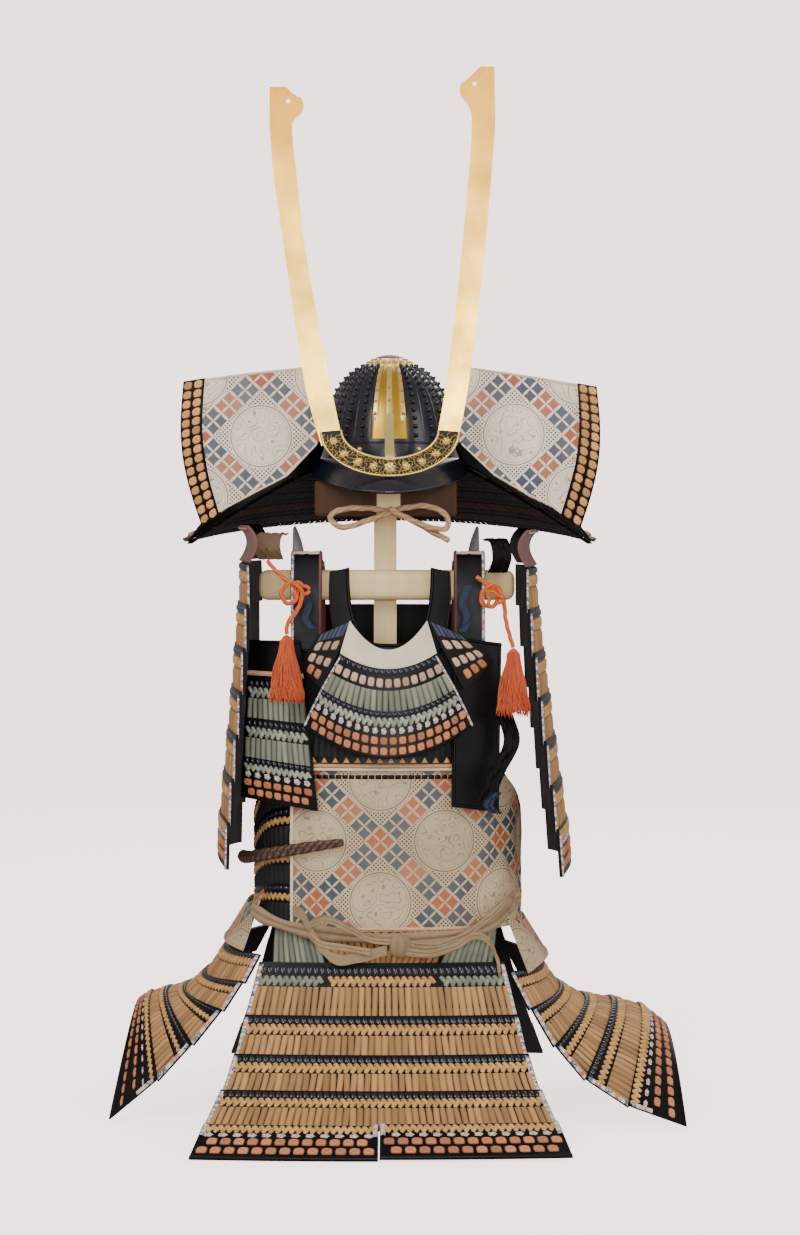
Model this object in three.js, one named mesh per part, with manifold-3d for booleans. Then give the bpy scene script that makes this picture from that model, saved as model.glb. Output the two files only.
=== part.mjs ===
// A laced great armour with its horned helmet, standing on a plain wooden stand.
// Millimetres, +Z up. The origin is on the floor under the stand's post.
// The armour faces -Y. Right and left are the wearer's, so right is -X.
import * as THREE from 'three';
import { mergeVertices } from 'three/addons/utils/BufferGeometryUtils.js';
import { RoundedBoxGeometry } from 'three/addons/geometries/RoundedBoxGeometry.js';
import Module from 'manifold-3d';

const wasm = await Module();
wasm.setup();

const { degToRad, lerp, clamp } = THREE.MathUtils;
const HALF_PI = Math.PI / 2;

// ---- Driving sizes ----

const FOOT = { width: 330, depth: 250, height: 24, round: 6, gap: 0.3 };
const POST = { side: 31.5, x: -1, top: 830 };
const CROSSBAR = { length: 355, height: 42, depth: 30, x: 1, z: 727, gap: 0.5, round: 12 };
const BLOCK = { width: 196, depth: 170, bottom: 822, top: 872, round: 5 };
const DOME = { halfWidth: 76, halfDepth: 90, height: 148, sunk: 10, cutSide: 400 };

const BOWL = { x: 5, halfWidth: 98, halfDepth: 115, base: 897, height: 139, wall: 2.5 };
const BOWL_FULLNESS = 0.8;
const BOWL_TOP_DEGREES = 84;
const TOP_RING = { inner: 9, outer: 24, height: 9, lift: 0.8 };
const VISOR = { spread: 72, width: 116, reach: 178, front: 855, side: 884, wall: 3 };
const VISOR_ROOT = { out: 5.5, rise: 6, arch: 5 };
const HOLDER = { y: -162, centre: 6, innerHalf: 64, outerHalf: 94, inner: 902, outer: 876.5 };
const HOLDER_RISE = { inner: 37, outer: 60 };
const HOLDER_WALL = 3;
const HORN = { y: -156.5, thickness: 2, hole: 3.4 };
const NECK_GUARD = { spread: 106, topX: 104, topY: 121, top: 894, rimX: 289, rimY: 230 };
const NECK_RIM = { side: 790, back: 820, flare: 1.15 };
const TURNBACK = { wall: 4, bow: 14, bulge: 6 };

const TORSO = { halfWidth: 190, halfDepth: 145, square: 2.6, top: 479, bottom: 259, wall: 4 };
const ARMHOLE = { drop: 74, at: 93, spread: 28 };
const CHEST = { reach: 150, curve: 0.0012, lean: 0.1, from: 480 };
const STRAP = { innerRight: 87, innerLeft: 93, width: 43, wall: 5 };
const LAME = { wall: 3.2, step: 5.2, overlap: 0.03 };
const SKIRT_ROWS = 5;
const PANEL = { wall: 4.4, step: 2.6 };
const THIN_PANEL = { wall: 4, step: 2 };
const BOARD_WALL = 4;
const CHEST_FOOT = 481.5;
const LEAF = { halfDepth: 44, height: 47, arch: 1.25, x: 117, lean: 12, y: 4, foot: 760.6, wall: 3 };
const COLLAR = { x: 6, out: 6, inner: 57, outer: 81, fullness: 14 };
const COLLAR_EDGE = { inner: 649, innerRise: 104, outer: 610, outerRise: 138 };
const SKIRT_BULGE = { front: 12, back: 16 };
const HEM_SPLIT = { at: 0.493, gap: 0.004, lift: 2.5, forward: 1 };
const WAIST = { spread: 50, inset: 0.05, depth: 4.5, wall: 3 };
const WAIST_LEATHER = { from: 62, to: 122, reach: 6, drop: 52, top: 5, foot: 37, wall: 2.5 };
const SLEEVE = { wall: 5, step: 3.4, halfDepthTop: 148, halfDepthHem: 165, bulge: 19, droop: 6 };
const CROWN = { lift: 4, height: 46, out: 6, wider: 2, tuck: 12, flare: 9, wave: 2.4, wall: 4 };
const BELT = { width: 22, loopWidth: 14, wall: 4 };
const TUBE_SIDES = 8;

// ---- Finishes ----

const FINISH = {
  wood: { color: 0xe1c8a5, roughness: 0.6, metalness: 0 },
  lacquer: { color: 0x1e212d, roughness: 0.3, metalness: 0 },
  iron: { color: 0x2a2c33, roughness: 0.45, metalness: 0.6 },
  gilt: { color: 0xd9b76a, roughness: 0.3, metalness: 1 },
  leather: { color: 0xd9cfbf, roughness: 0.7, metalness: 0 },
  lacing: { color: 0xc4a578, roughness: 0.8, metalness: 0 },
  silk: { color: 0xd76432, roughness: 0.75, metalness: 0 },
  hemp: { color: 0xbe966e, roughness: 0.9, metalness: 0 },
};

const armour = new THREE.Group();

function add(name, geometry, finish) {
  const mesh = new THREE.Mesh(geometry, new THREE.MeshStandardMaterial(FINISH[finish]));
  mesh.name = name;
  armour.add(mesh);
  return mesh;
}

// ---- Ways of making a solid ----

const point = (x, y, z) => new THREE.Vector3(x, y, z);

// The value at t, from 0 to 1, in a list of evenly spaced values joined by straight lines.
function along(values, t) {
  const place = clamp(t, 0, 1) * (values.length - 1);
  const first = Math.min(Math.floor(place), values.length - 2);
  return lerp(values[first], values[first + 1], place - first);
}

// Moves every corner of a closed geometry by a function of where it was.
function bend(geometry, place) {
  const bare = bareMesh(geometry);
  const corners = bare.attributes.position;
  for (let i = 0; i < corners.count; i += 1) {
    const moved = place(corners.getX(i), corners.getY(i), corners.getZ(i));
    corners.setXYZ(i, moved.x, moved.y, moved.z);
  }
  return bare;
}

// The geometry with its corners joined, and without the triangles that this closes up.
function bareMesh(geometry) {
  geometry.deleteAttribute('normal');
  geometry.deleteAttribute('uv');
  const merged = mergeVertices(geometry, 1e-3);
  const kept = [];
  const index = merged.index.array;
  for (let i = 0; i < index.length; i += 3) {
    const [a, b, c] = [index[i], index[i + 1], index[i + 2]];
    if (a !== b && b !== c && c !== a) kept.push(a, b, c);
  }
  merged.setIndex(kept);
  return merged;
}

// A point that lies behind surface(u, v) by a depth, square to the surface.
function behind(surface, u, v, depth) {
  const step = 0.004;
  const right = surface(Math.min(u + step, 1), v).sub(surface(Math.max(u - step, 0), v));
  const down = surface(u, Math.min(v + step, 1)).sub(surface(u, Math.max(v - step, 0)));
  const inward = right.cross(down).normalize();
  return surface(u, v).addScaledVector(inward, depth);
}

// A plate whose outer face is surface(u, v): u runs left to right and v runs down, seen
// from outside. Its thickness lies behind that face.
function plate(surface, across, down, thickness) {
  const box = new THREE.BoxGeometry(1, 1, 1, across, down, 1);
  return bend(box, (x, y, z) => behind(surface, x + 0.5, 0.5 - y, (0.5 - z) * thickness));
}

// A panel of laced rows in one body: each row's head stands out from the row above it.
function rowPanel(surface, across, rows, wall, step) {
  const levels = 2 * rows - 1;
  const box = new THREE.BoxGeometry(1, 1, 1, across, levels, 1);
  return bend(box, (x, y, z) => {
    const level = Math.round((0.5 - y) * levels);
    const head = level % 2 === 0;
    const v = (Math.floor(level / 2) + (head ? 0 : 1)) / rows;
    return behind(surface, x + 0.5, v, (0.5 - z) * wall - (head ? step : 0));
  });
}

// One lame of a hanging panel of five. Its head stands out, so that it covers the row above.
function lame(surface, row, across) {
  const start = row / SKIRT_ROWS;
  const end = (row + 1) / SKIRT_ROWS;
  const head = row === 0 ? start : start - LAME.overlap;
  const face = (u, v) => {
    const s = v < 0.5 ? lerp(head, start, 2 * v) : lerp(start, end, 2 * v - 1);
    return behind(surface, u, s, (LAME.step * (s - end)) / (end - head));
  };
  const whole = (u, v) => face(u, lerp(0.5, 1, v));
  return row === 0 ? plate(whole, across, 1, LAME.wall) : plate(face, across, 2, LAME.wall);
}

function solidOf(geometry) {
  const mesh = bareMesh(geometry);
  return new wasm.Manifold(new wasm.Mesh({
    numProp: 3,
    vertProperties: mesh.attributes.position.array,
    triVerts: new Uint32Array(mesh.index.array),
  }));
}

function geometryOf(solid) {
  const mesh = solid.getMesh();
  const geometry = new THREE.BufferGeometry();
  geometry.setAttribute('position', new THREE.BufferAttribute(mesh.vertProperties, 3));
  geometry.setIndex(new THREE.BufferAttribute(mesh.triVerts, 1));
  return geometry;
}

// A round cord along a smooth curve through its points.
function cord(points, diameter, steps) {
  const section = new THREE.Shape();
  for (let side = 0; side < TUBE_SIDES; side += 1) {
    const angle = (2 * Math.PI * side) / TUBE_SIDES;
    const x = (Math.cos(angle) * diameter) / 2;
    const y = (Math.sin(angle) * diameter) / 2;
    if (side === 0) section.moveTo(x, y);
    else section.lineTo(x, y);
  }
  section.closePath();
  const extrudePath = new THREE.CatmullRomCurve3(points.map((p) => point(...p)), false, 'centripetal');
  const tube = new THREE.ExtrudeGeometry(section, { steps, extrudePath, bevelEnabled: false });
  return bareMesh(tube);
}

// A flat band along a smooth curve: its width stands upright, its thickness lies behind it.
function band(points, width, wall, steps) {
  const path = new THREE.CatmullRomCurve3(points.map((p) => point(...p)), false, 'centripetal');
  const face = (u, v) => path.getPoint(u).add(point(0, 0, width * (0.5 - v)));
  return plate(face, steps, 1, wall);
}

// ---- The stand ----

function stand() {
  const foot = new RoundedBoxGeometry(FOOT.width, FOOT.depth, FOOT.height, 1, FOOT.round);
  foot.translate(POST.x, 0, FOOT.height / 2);
  add('stand_foot', bareMesh(foot), 'wood');

  const postBottom = FOOT.height + FOOT.gap;
  const post = new THREE.BoxGeometry(POST.side, POST.side, POST.top - postBottom);
  post.translate(POST.x, 0, (POST.top + postBottom) / 2);
  const blockHeight = BLOCK.top - BLOCK.bottom;
  const block = new RoundedBoxGeometry(BLOCK.width, BLOCK.depth, blockHeight, 1, BLOCK.round);
  block.translate(0, 0, (BLOCK.top + BLOCK.bottom) / 2);
  const dome = new THREE.SphereGeometry(1, 14, 8);
  dome.rotateX(HALF_PI);
  dome.scale(DOME.halfWidth, DOME.halfDepth, DOME.height);
  dome.translate(BOWL.x, 0, BLOCK.top);
  const domeCut = new THREE.BoxGeometry(DOME.cutSide, DOME.cutSide, DOME.cutSide);
  domeCut.translate(0, 0, BLOCK.top - DOME.sunk - DOME.cutSide / 2);
  const crown = solidOf(dome).subtract(solidOf(domeCut));
  add('stand_post', geometryOf(solidOf(post).add(solidOf(block)).add(crown)), 'wood');

  const bar = new RoundedBoxGeometry(
    CROSSBAR.length, CROSSBAR.depth, CROSSBAR.height, 2, CROSSBAR.round);
  const barY = -(POST.side + CROSSBAR.depth) / 2 - CROSSBAR.gap;
  bar.translate(CROSSBAR.x, barY, CROSSBAR.z);
  add('stand_crossbar', bareMesh(bar), 'wood');
}

// ---- The helmet ----

// A point on the bowl: turn from the front towards +X, height angle, and distance out.
function bowl(turn, rise, out) {
  return point(
    BOWL.x + (BOWL.halfWidth + out) * Math.sin(turn) * Math.cos(rise) ** BOWL_FULLNESS,
    -(BOWL.halfDepth + out) * Math.cos(turn) * Math.cos(rise) ** BOWL_FULLNESS,
    BOWL.base + (BOWL.height + out) * Math.sin(rise),
  );
}

function helmet() {
  const rings = 7;
  const top = degToRad(BOWL_TOP_DEGREES);
  const profile = [];
  for (let i = 0; i <= rings; i += 1) {
    const rise = (top * i) / rings;
    profile.push(new THREE.Vector2(Math.cos(rise) ** BOWL_FULLNESS, Math.sin(rise)));
  }
  const inside = 1 - BOWL.wall / BOWL.halfWidth;
  for (let i = rings; i >= 0; i -= 1) {
    const rise = (top * i) / rings;
    const radius = inside * Math.cos(rise) ** BOWL_FULLNESS;
    profile.push(new THREE.Vector2(radius, inside * Math.sin(rise)));
  }
  profile.push(profile[0].clone());
  const shell = bareMesh(new THREE.LatheGeometry(profile, 24));
  shell.rotateX(HALF_PI);
  shell.scale(BOWL.halfWidth, BOWL.halfDepth, BOWL.height);
  shell.translate(BOWL.x, 0, BOWL.base);
  add('helmet_bowl', shell, 'iron');

  const ringProfile = [
    [TOP_RING.inner, 0], [TOP_RING.outer, 0], [TOP_RING.outer * 0.8, TOP_RING.height * 0.45],
    [TOP_RING.inner * 1.3, TOP_RING.height], [TOP_RING.inner, TOP_RING.height], [TOP_RING.inner, 0],
  ].map(([x, y]) => new THREE.Vector2(x, y));
  const ring = bareMesh(new THREE.LatheGeometry(ringProfile, 20));
  ring.rotateX(HALF_PI);
  ring.translate(BOWL.x, 0, BOWL.base + BOWL.height + TOP_RING.lift);
  add('bowl_top_ring', ring, 'gilt');

  add('visor', plate(visor, 18, 3, VISOR.wall), 'lacquer');
  add('crest_holder', plate(crestHolder, 18, 1, HOLDER_WALL), 'gilt');
  add('crest_horn_right', horn(RIGHT_HORN), 'gilt');
  add('crest_horn_left', horn(LEFT_HORN), 'gilt');
  add('neck_guard', rowPanel(neckGuard, 22, 5, PANEL.wall, PANEL.step), 'lacquer');
  add('turnback_right', plate(turnback(RIGHT_TURNBACK, false), 6, 5, TURNBACK.wall), 'leather');
  add('turnback_left', plate(turnback(LEFT_TURNBACK, true), 6, 5, TURNBACK.wall), 'leather');
}

// The visor starts just above the bowl's rim and sweeps out and down.
function visor(u, v) {
  const turn = degToRad(VISOR.spread) * (2 * u - 1);
  const fall = (1 - Math.cos(turn)) / (1 - Math.cos(degToRad(VISOR.spread)));
  const start = bowl(turn, 0, VISOR_ROOT.out);
  start.z += VISOR_ROOT.rise;
  const end = point(
    BOWL.x + VISOR.width * Math.sin(turn),
    -VISOR.reach * Math.cos(turn),
    lerp(VISOR.front, VISOR.side, fall),
  );
  const face = start.clone().lerp(end, v);
  face.z += VISOR_ROOT.arch * Math.sin(Math.PI * v);
  return face;
}

// The crest holder is a U-shaped plate that stands on the visor.
function crestHolder(u, v) {
  const t = HALF_PI * (2 * u - 1);
  const innerZ = HOLDER.inner + HOLDER_RISE.inner * (1 - Math.cos(t));
  const outerZ = HOLDER.outer + HOLDER_RISE.outer * (1 - Math.cos(t));
  const half = lerp(HOLDER.innerHalf, HOLDER.outerHalf, v);
  return point(HOLDER.centre + half * Math.sin(t), HOLDER.y, lerp(innerZ, outerZ, v));
}

// Each horn is cut from flat sheet. Edges are listed from the holder up: x, z.
const RIGHT_HORN = {
  outer: [[-86, 918], [-107, 993], [-124, 1101], [-138, 1195], [-150, 1280], [-155, 1345]],
  top: [[-155, 1398], [-133, 1398]],
  lobe: [[-122, 1385], [-112, 1383], [-106, 1370], [-114, 1361]],
  inner: [[-125, 1346], [-120, 1289], [-109.5, 1195], [-93.5, 1101], [-76, 1010], [-58, 926]],
  hole: [-130, 1379],
};
const LEFT_HORN = {
  outer: [[97, 922], [108.5, 980], [120.5, 1067], [135, 1195], [143, 1290], [147.5, 1350]],
  top: [[146, 1425], [127, 1425]],
  lobe: [[112, 1409], [101, 1402], [96, 1387], [106, 1380]],
  inner: [[115, 1362], [114, 1310], [104, 1195], [97, 1127], [83, 1010], [70, 934]],
  hole: [119.5, 1402],
};

function horn(form) {
  const pairs = (list) => list.map(([x, z]) => new THREE.Vector2(x, z));
  const outline = new THREE.Shape();
  outline.moveTo(...form.outer[0]);
  outline.splineThru(pairs(form.outer.slice(1)));
  outline.lineTo(...form.top[0]);
  outline.lineTo(...form.top[1]);
  outline.quadraticCurveTo(...form.lobe[0], ...form.lobe[1]);
  outline.quadraticCurveTo(...form.lobe[2], ...form.lobe[3]);
  outline.splineThru(pairs(form.inner));
  outline.closePath();
  const hole = new THREE.Path();
  hole.absarc(...form.hole, HORN.hole, 0, 2 * Math.PI, false);
  outline.holes.push(hole);
  const sheet = new THREE.ExtrudeGeometry(
    outline, { depth: HORN.thickness, curveSegments: 3, bevelEnabled: false });
  sheet.rotateX(HALF_PI);
  sheet.translate(0, HORN.y, 0);
  return bareMesh(sheet);
}

// The neck guard spreads like an umbrella from one temple round the back to the other.
function neckGuard(u, v) {
  const turn = degToRad(NECK_GUARD.spread) * (1 - 2 * u);
  const back = Math.max(0, Math.cos(turn)) ** 1.5;
  const rim = lerp(NECK_RIM.side, NECK_RIM.back, back);
  return point(
    BOWL.x + lerp(NECK_GUARD.topX, NECK_GUARD.rimX, v) * Math.sin(turn),
    lerp(NECK_GUARD.topY, NECK_GUARD.rimY, v) * Math.cos(turn),
    lerp(NECK_GUARD.top, rim, v ** NECK_RIM.flare),
  );
}

// A turned-back end of the neck guard, from its outer edge to the temple.
// Columns: x and z of the top edge, x and z of the bottom edge, and y.
const RIGHT_TURNBACK = [
  { topX: -278, topZ: 1007, footX: -253, footZ: 808, y: -64 },
  { topX: -236, topZ: 1013, footX: -219, footZ: 832, y: -80 },
  { topX: -194, topZ: 1018, footX: -180, footZ: 853, y: -90 },
  { topX: -154, topZ: 1022, footX: -134, footZ: 877, y: -98 },
  { topX: -114, topZ: 1026, footX: -94, footZ: 920, y: -98 },
];
const LEFT_TURNBACK = [
  { topX: 290, topZ: 1000, footX: 268, footZ: 806, y: -64 },
  { topX: 252, topZ: 1006, footX: 230, footZ: 834, y: -80 },
  { topX: 208, topZ: 1013, footX: 196, footZ: 850, y: -90 },
  { topX: 166, topZ: 1019, footX: 148, footZ: 878, y: -98 },
  { topX: 121, topZ: 1025, footX: 104, footZ: 920, y: -98 },
];

function turnback(table, mirrored) {
  const column = (name) => table.map((row) => row[name]);
  const side = mirrored ? 1 : -1;
  return (u, v) => {
    const across = mirrored ? 1 - u : u;
    const arch = Math.sin(Math.PI * v);
    const bow = side * TURNBACK.bow * arch * (1 - across);
    const x = lerp(along(column('topX'), across), along(column('footX'), across), v) + bow;
    const z = lerp(along(column('topZ'), across), along(column('footZ'), across), v);
    return point(x, along(column('y'), across) - TURNBACK.bulge * arch, z);
  };
}

// ---- The cuirass ----

// A point on the body of the cuirass: turn from the front towards +X, height, distance out.
function torso(turn, z, out) {
  const power = 2 / TORSO.square;
  const side = Math.sign(Math.sin(turn)) * Math.abs(Math.sin(turn)) ** power;
  const front = Math.sign(Math.cos(turn)) * Math.abs(Math.cos(turn)) ** power;
  return point((TORSO.halfWidth + out) * side, -(TORSO.halfDepth + out) * front, z);
}

// The height of the cuirass's top edge, which is cut away under each arm.
function armhole(degrees) {
  const around = Math.min(Math.abs(degrees), 360 - Math.abs(degrees));
  return TORSO.top - ARMHOLE.drop * Math.exp(-(((around - ARMHOLE.at) / ARMHOLE.spread) ** 2));
}

function torsoArc(fromDegrees, toDegrees, bottom, out) {
  return (u, v) => {
    const degrees = lerp(fromDegrees, toDegrees, u);
    return torso(degToRad(degrees), lerp(armhole(degrees), bottom, v), out);
  };
}

// A point on the chest's face, above and in front of the cuirass: x, height, distance out.
function chest(x, z, out) {
  const lean = CHEST.lean * Math.max(0, z - CHEST.from);
  return point(x, -(CHEST.reach + out) + CHEST.curve * x * x + lean, z);
}

// A chest piece between a left and a right edge. Each edge lists x, z from the top down.
function chestPiece(left, right, outTop, outFoot) {
  const at = (edge, column, v) => along(edge.map((corner) => corner[column]), v);
  return (u, v) => {
    const x = lerp(at(left, 0, v), at(right, 0, v), u);
    const z = lerp(at(left, 1, v), at(right, 1, v), u);
    return chest(x, z, lerp(outTop, outFoot, v));
  };
}

// The throat apron fans out from the collar. Columns: half of the width, height at the
// sides, and how far the middle hangs below the sides.
const THROAT_APRON = [
  { half: 52, z: 682, sag: 39 },
  { half: 66, z: 636, sag: 20 },
  { half: 79, z: 613, sag: 25 },
  { half: 92, z: 590, sag: 31 },
  { half: 104, z: 566, sag: 38 },
  { half: 115, z: 542, sag: 44 },
];

function cuirass() {
  const front = torsoArc(-38, 100, TORSO.bottom, 0);
  add('cuirass_front', plate(front, 16, 4, TORSO.wall), 'leather');
  const back = torsoArc(101.5, 245, TORSO.bottom, 0);
  add('cuirass_back', rowPanel(back, 16, 4, PANEL.wall, PANEL.step), 'lacquer');
  const side = torsoArc(-126, -30, TORSO.bottom + 6, -8);
  add('side_plate', rowPanel(side, 8, 4, THIN_PANEL.wall, THIN_PANEL.step), 'lacquer');

  const breast = chestPiece([[-128, 641], [-150, CHEST_FOOT]], [[128, 641], [150, CHEST_FOOT]], 0, 0);
  add('breast_board', plate(breast, 10, 2, BOARD_WALL), 'lacquer');
  const backBoard = (u, v) => {
    const z = lerp(695, CHEST_FOOT, v);
    const x = lerp(1, -1, u) * lerp(118, 150, v);
    return chest(x, z, 0).multiply(point(1, -1, 1));
  };
  add('back_board', rowPanel(backBoard, 10, 3, PANEL.wall, PANEL.step), 'lacquer');

  add('shoulder_strap_right', plate(strap(-1, STRAP.innerRight), 2, 12, STRAP.wall), 'lacquer');
  add('shoulder_strap_left', plate(strap(1, STRAP.innerLeft), 2, 12, STRAP.wall), 'lacquer');
  add('standing_leaf_right', plate(standingLeaf(-1), 8, 2, LEAF.wall), 'leather');
  add('standing_leaf_left', plate(standingLeaf(1), 8, 2, LEAF.wall), 'leather');
  add('collar_board', plate(collar, 18, 2, BOARD_WALL), 'lacquer');

  const apron = (u, v) => {
    const at = (name) => along(THROAT_APRON.map((row) => row[name]), v);
    const across = 2 * u - 1;
    const z = at('z') - at('sag') * (1 - across * across);
    return chest(4 + across * at('half'), z, lerp(27, 31, v));
  };
  add('throat_apron_centre', rowPanel(apron, 12, 5, PANEL.wall, PANEL.step), 'lacing');
  const apronRight = chestPiece([[-90, 662], [-117, 618]], [[-44, 684], [-86, 588]], 16, 19);
  add('throat_apron_right', rowPanel(apronRight, 4, 2, THIN_PANEL.wall, THIN_PANEL.step), 'lacing');
  const apronLeft = chestPiece([[56, 684], [106, 588]], [[102, 662], [150, 626]], 16, 19);
  add('throat_apron_left', rowPanel(apronLeft, 4, 2, THIN_PANEL.wall, THIN_PANEL.step), 'lacing');

  const sendan = chestPiece([[-186, 653], [-198, 440]], [[-116, 653], [-92, 424]], 9, 12);
  add('sendan_panel', rowPanel(sendan, 5, 4, PANEL.wall, PANEL.step), 'lacing');
  const kyubi = chestPiece([[92, 660], [90, 430]], [[158, 650], [154, 421]], 11, 13);
  add('kyubi_plate', plate(kyubi, 5, 4, BOARD_WALL), 'lacquer');
}

// A shoulder strap: y and z of its outer face, from the back over the shoulder to the chest.
const STRAP_PATH = [
  [104, 640], [103, 700], [88, 740], [48, 757], [0, 757.5], [-42, 758],
  [-60, 768], [-78, 774], [-94, 766], [-103, 735], [-106.5, 690], [-106.5, 628],
];

function strap(side, inner) {
  const path = new THREE.CatmullRomCurve3(STRAP_PATH.map(([y, z]) => point(0, y, z)));
  const edges = [side * inner, side * (inner + STRAP.width)].sort((a, b) => a - b);
  return (u, v) => path.getPoint(v).add(point(lerp(edges[0], edges[1], u), 0, 0));
}

// A leaf-shaped plate that stands on the strap and leans out over it.
function standingLeaf(side) {
  return (u, v) => {
    const across = side * (2 * u - 1);
    const height = LEAF.height * Math.cos(across * LEAF.arch);
    const x = side * (LEAF.x + LEAF.lean * (1 - v) * (1 - v));
    return point(x, LEAF.y + across * LEAF.halfDepth, LEAF.foot + height * (1 - v));
  };
}

// The collar is a U of lacquered board round the open neck, with its wings drawn up.
function collar(u, v) {
  const t = HALF_PI * (2 * u - 1);
  const rise = 1 - Math.cos(t);
  const half = lerp(COLLAR.inner, COLLAR.outer + COLLAR.fullness * Math.cos(t), v);
  const innerZ = COLLAR_EDGE.inner + COLLAR_EDGE.innerRise * rise ** 1.6;
  const outerZ = COLLAR_EDGE.outer + COLLAR_EDGE.outerRise * rise ** 1.35;
  return chest(COLLAR.x + half * Math.sin(t), lerp(innerZ, outerZ, v), COLLAR.out);
}

// ---- The skirt ----

// Columns: half of the width, y and z, at even distances from the waist to the hem.
const FRONT_SKIRT = [
  { half: 165, y: -165, z: 220 },
  { half: 180, y: -191, z: 164 },
  { half: 192, y: -231, z: 117 },
  { half: 206, y: -277, z: 76 },
  { half: 225, y: -330, z: 43 },
  { half: 246, y: -392, z: 3.5 },
];
const BACK_SKIRT = [
  { half: 158, y: 152, z: 256 },
  { half: 174, y: 172, z: 200 },
  { half: 188, y: 204, z: 150 },
  { half: 203, y: 245, z: 100 },
  { half: 220, y: 294, z: 54 },
  { half: 238, y: 350, z: 4 },
];
// Columns: x and z of the near edge, x and z of the crest, half of the depth, at even steps.
const RIGHT_SKIRT = [
  { edgeX: -168, edgeZ: 225, crestX: -221, crestZ: 222, half: 148 },
  { edgeX: -192, edgeZ: 188, crestX: -252, crestZ: 180, half: 152 },
  { edgeX: -221, edgeZ: 150, crestX: -282, crestZ: 157, half: 156 },
  { edgeX: -262, edgeZ: 104, crestX: -308, crestZ: 153, half: 160 },
  { edgeX: -310, edgeZ: 56, crestX: -332, crestZ: 147, half: 164 },
  { edgeX: -376, edgeZ: 5, crestX: -352, crestZ: 138, half: 168 },
];
const LEFT_SKIRT = [
  { edgeX: 166, edgeZ: 202, crestX: 215, crestZ: 196, half: 150 },
  { edgeX: 196, edgeZ: 152, crestX: 243, crestZ: 160, half: 158 },
  { edgeX: 229, edgeZ: 103, crestX: 280, crestZ: 142, half: 168 },
  { edgeX: 270, edgeZ: 60, crestX: 318, crestZ: 139, half: 180 },
  { edgeX: 328, edgeZ: 27, crestX: 360, crestZ: 128, half: 196 },
  { edgeX: 405, edgeZ: 5, crestX: 398, crestZ: 102, half: 212 },
];
const FRONT_CENTRE = -5;
const SIDE_CENTRE = 12;

function frontSkirt(u, v) {
  const at = (name) => along(FRONT_SKIRT.map((row) => row[name]), v);
  const across = 2 * u - 1;
  const bulge = SKIRT_BULGE.front * (1 - across * across);
  return point(FRONT_CENTRE + at('half') * across, at('y') - bulge, at('z'));
}

function backSkirt(u, v) {
  const at = (name) => along(BACK_SKIRT.map((row) => row[name]), v);
  const across = 1 - 2 * u;
  const bulge = SKIRT_BULGE.back * (1 - across * across);
  return point(at('half') * across, at('y') + bulge, at('z'));
}

function sideSkirt(table, side) {
  const columns = {};
  for (const name of Object.keys(table[0])) columns[name] = table.map((row) => row[name]);
  return (u, v) => {
    const back = side < 0 ? 1 - 2 * u : 2 * u - 1;
    const arch = 1 - Math.abs(back) ** 2.2;
    const x = lerp(along(columns.edgeX, v), along(columns.crestX, v), arch);
    const z = lerp(along(columns.edgeZ, v), along(columns.crestZ, v), arch);
    return point(x, SIDE_CENTRE + back * along(columns.half, v), z);
  };
}

function skirtRows(name, surface, rows, across) {
  for (let row = 0; row < rows; row += 1) {
    add(`${name}_${row + 1}`, lame(surface, row, across), 'lacing');
  }
}

function skirt() {
  skirtRows('skirt_front', frontSkirt, SKIRT_ROWS - 1, 8);
  const rightHem = (u, v) => frontSkirt(u * HEM_SPLIT.at, v);
  const lifted = point(0, -HEM_SPLIT.forward, HEM_SPLIT.lift);
  const leftHem = (u, v) => frontSkirt(lerp(HEM_SPLIT.at + HEM_SPLIT.gap, 1, u), v).add(lifted);
  add('skirt_front_5_right', lame(rightHem, SKIRT_ROWS - 1, 4), 'lacing');
  add('skirt_front_5_left', lame(leftHem, SKIRT_ROWS - 1, 4), 'lacing');
  skirtRows('skirt_right', sideSkirt(RIGHT_SKIRT, -1), SKIRT_ROWS, 10);
  skirtRows('skirt_left', sideSkirt(LEFT_SKIRT, 1), SKIRT_ROWS, 10);
  add('skirt_back', rowPanel(backSkirt, 8, SKIRT_ROWS, PANEL.wall, PANEL.step), 'lacing');
  waist();
}

// The lacing that hangs the front skirt, and the leathers that hang the side ones.
function waist() {
  const lacing = (u, v) => {
    const turn = degToRad(lerp(-WAIST.spread, WAIST.spread, u));
    const across = lerp(WAIST.inset, 1 - WAIST.inset, u);
    const above = torso(turn, TORSO.bottom - 1, -1);
    return above.lerp(behind(frontSkirt, across, WAIST.inset, WAIST.depth), v);
  };
  add('waist_lacing', plate(lacing, 8, 2, WAIST.wall), 'lacing');
  const leather = (side, top, flap) => (u, v) => {
    const back = side < 0 ? 1 - 2 * u : 2 * u - 1;
    const near = Math.max(0, -back) ** 4;
    const degrees = lerp(WAIST_LEATHER.from, WAIST_LEATHER.to, (back + 1) / 2);
    const turn = side * degToRad(degrees - WAIST_LEATHER.reach * near);
    const foot = top - WAIST_LEATHER.drop - flap.down * near;
    const out = lerp(WAIST_LEATHER.top, WAIST_LEATHER.foot, v);
    return torso(turn, lerp(top + flap.up * near, foot, v), out);
  };
  const right = plate(leather(-1, 285, { up: 26, down: 4 }), 8, 2, WAIST_LEATHER.wall);
  add('waist_leather_right', right, 'leather');
  const left = plate(leather(1, 262, { up: 8, down: 12 }), 8, 2, WAIST_LEATHER.wall);
  add('waist_leather_left', left, 'leather');
}

// ---- The shoulder guards ----

// The side it hangs on, then z and x of its edges at the crown plate and at the hem.
const RIGHT_GUARD = { side: -1, top: 758, hem: 352, topX: 180, hemX: 215 };
const LEFT_GUARD = { side: 1, top: 752, hem: 342, topX: 186, hemX: 239 };

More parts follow.
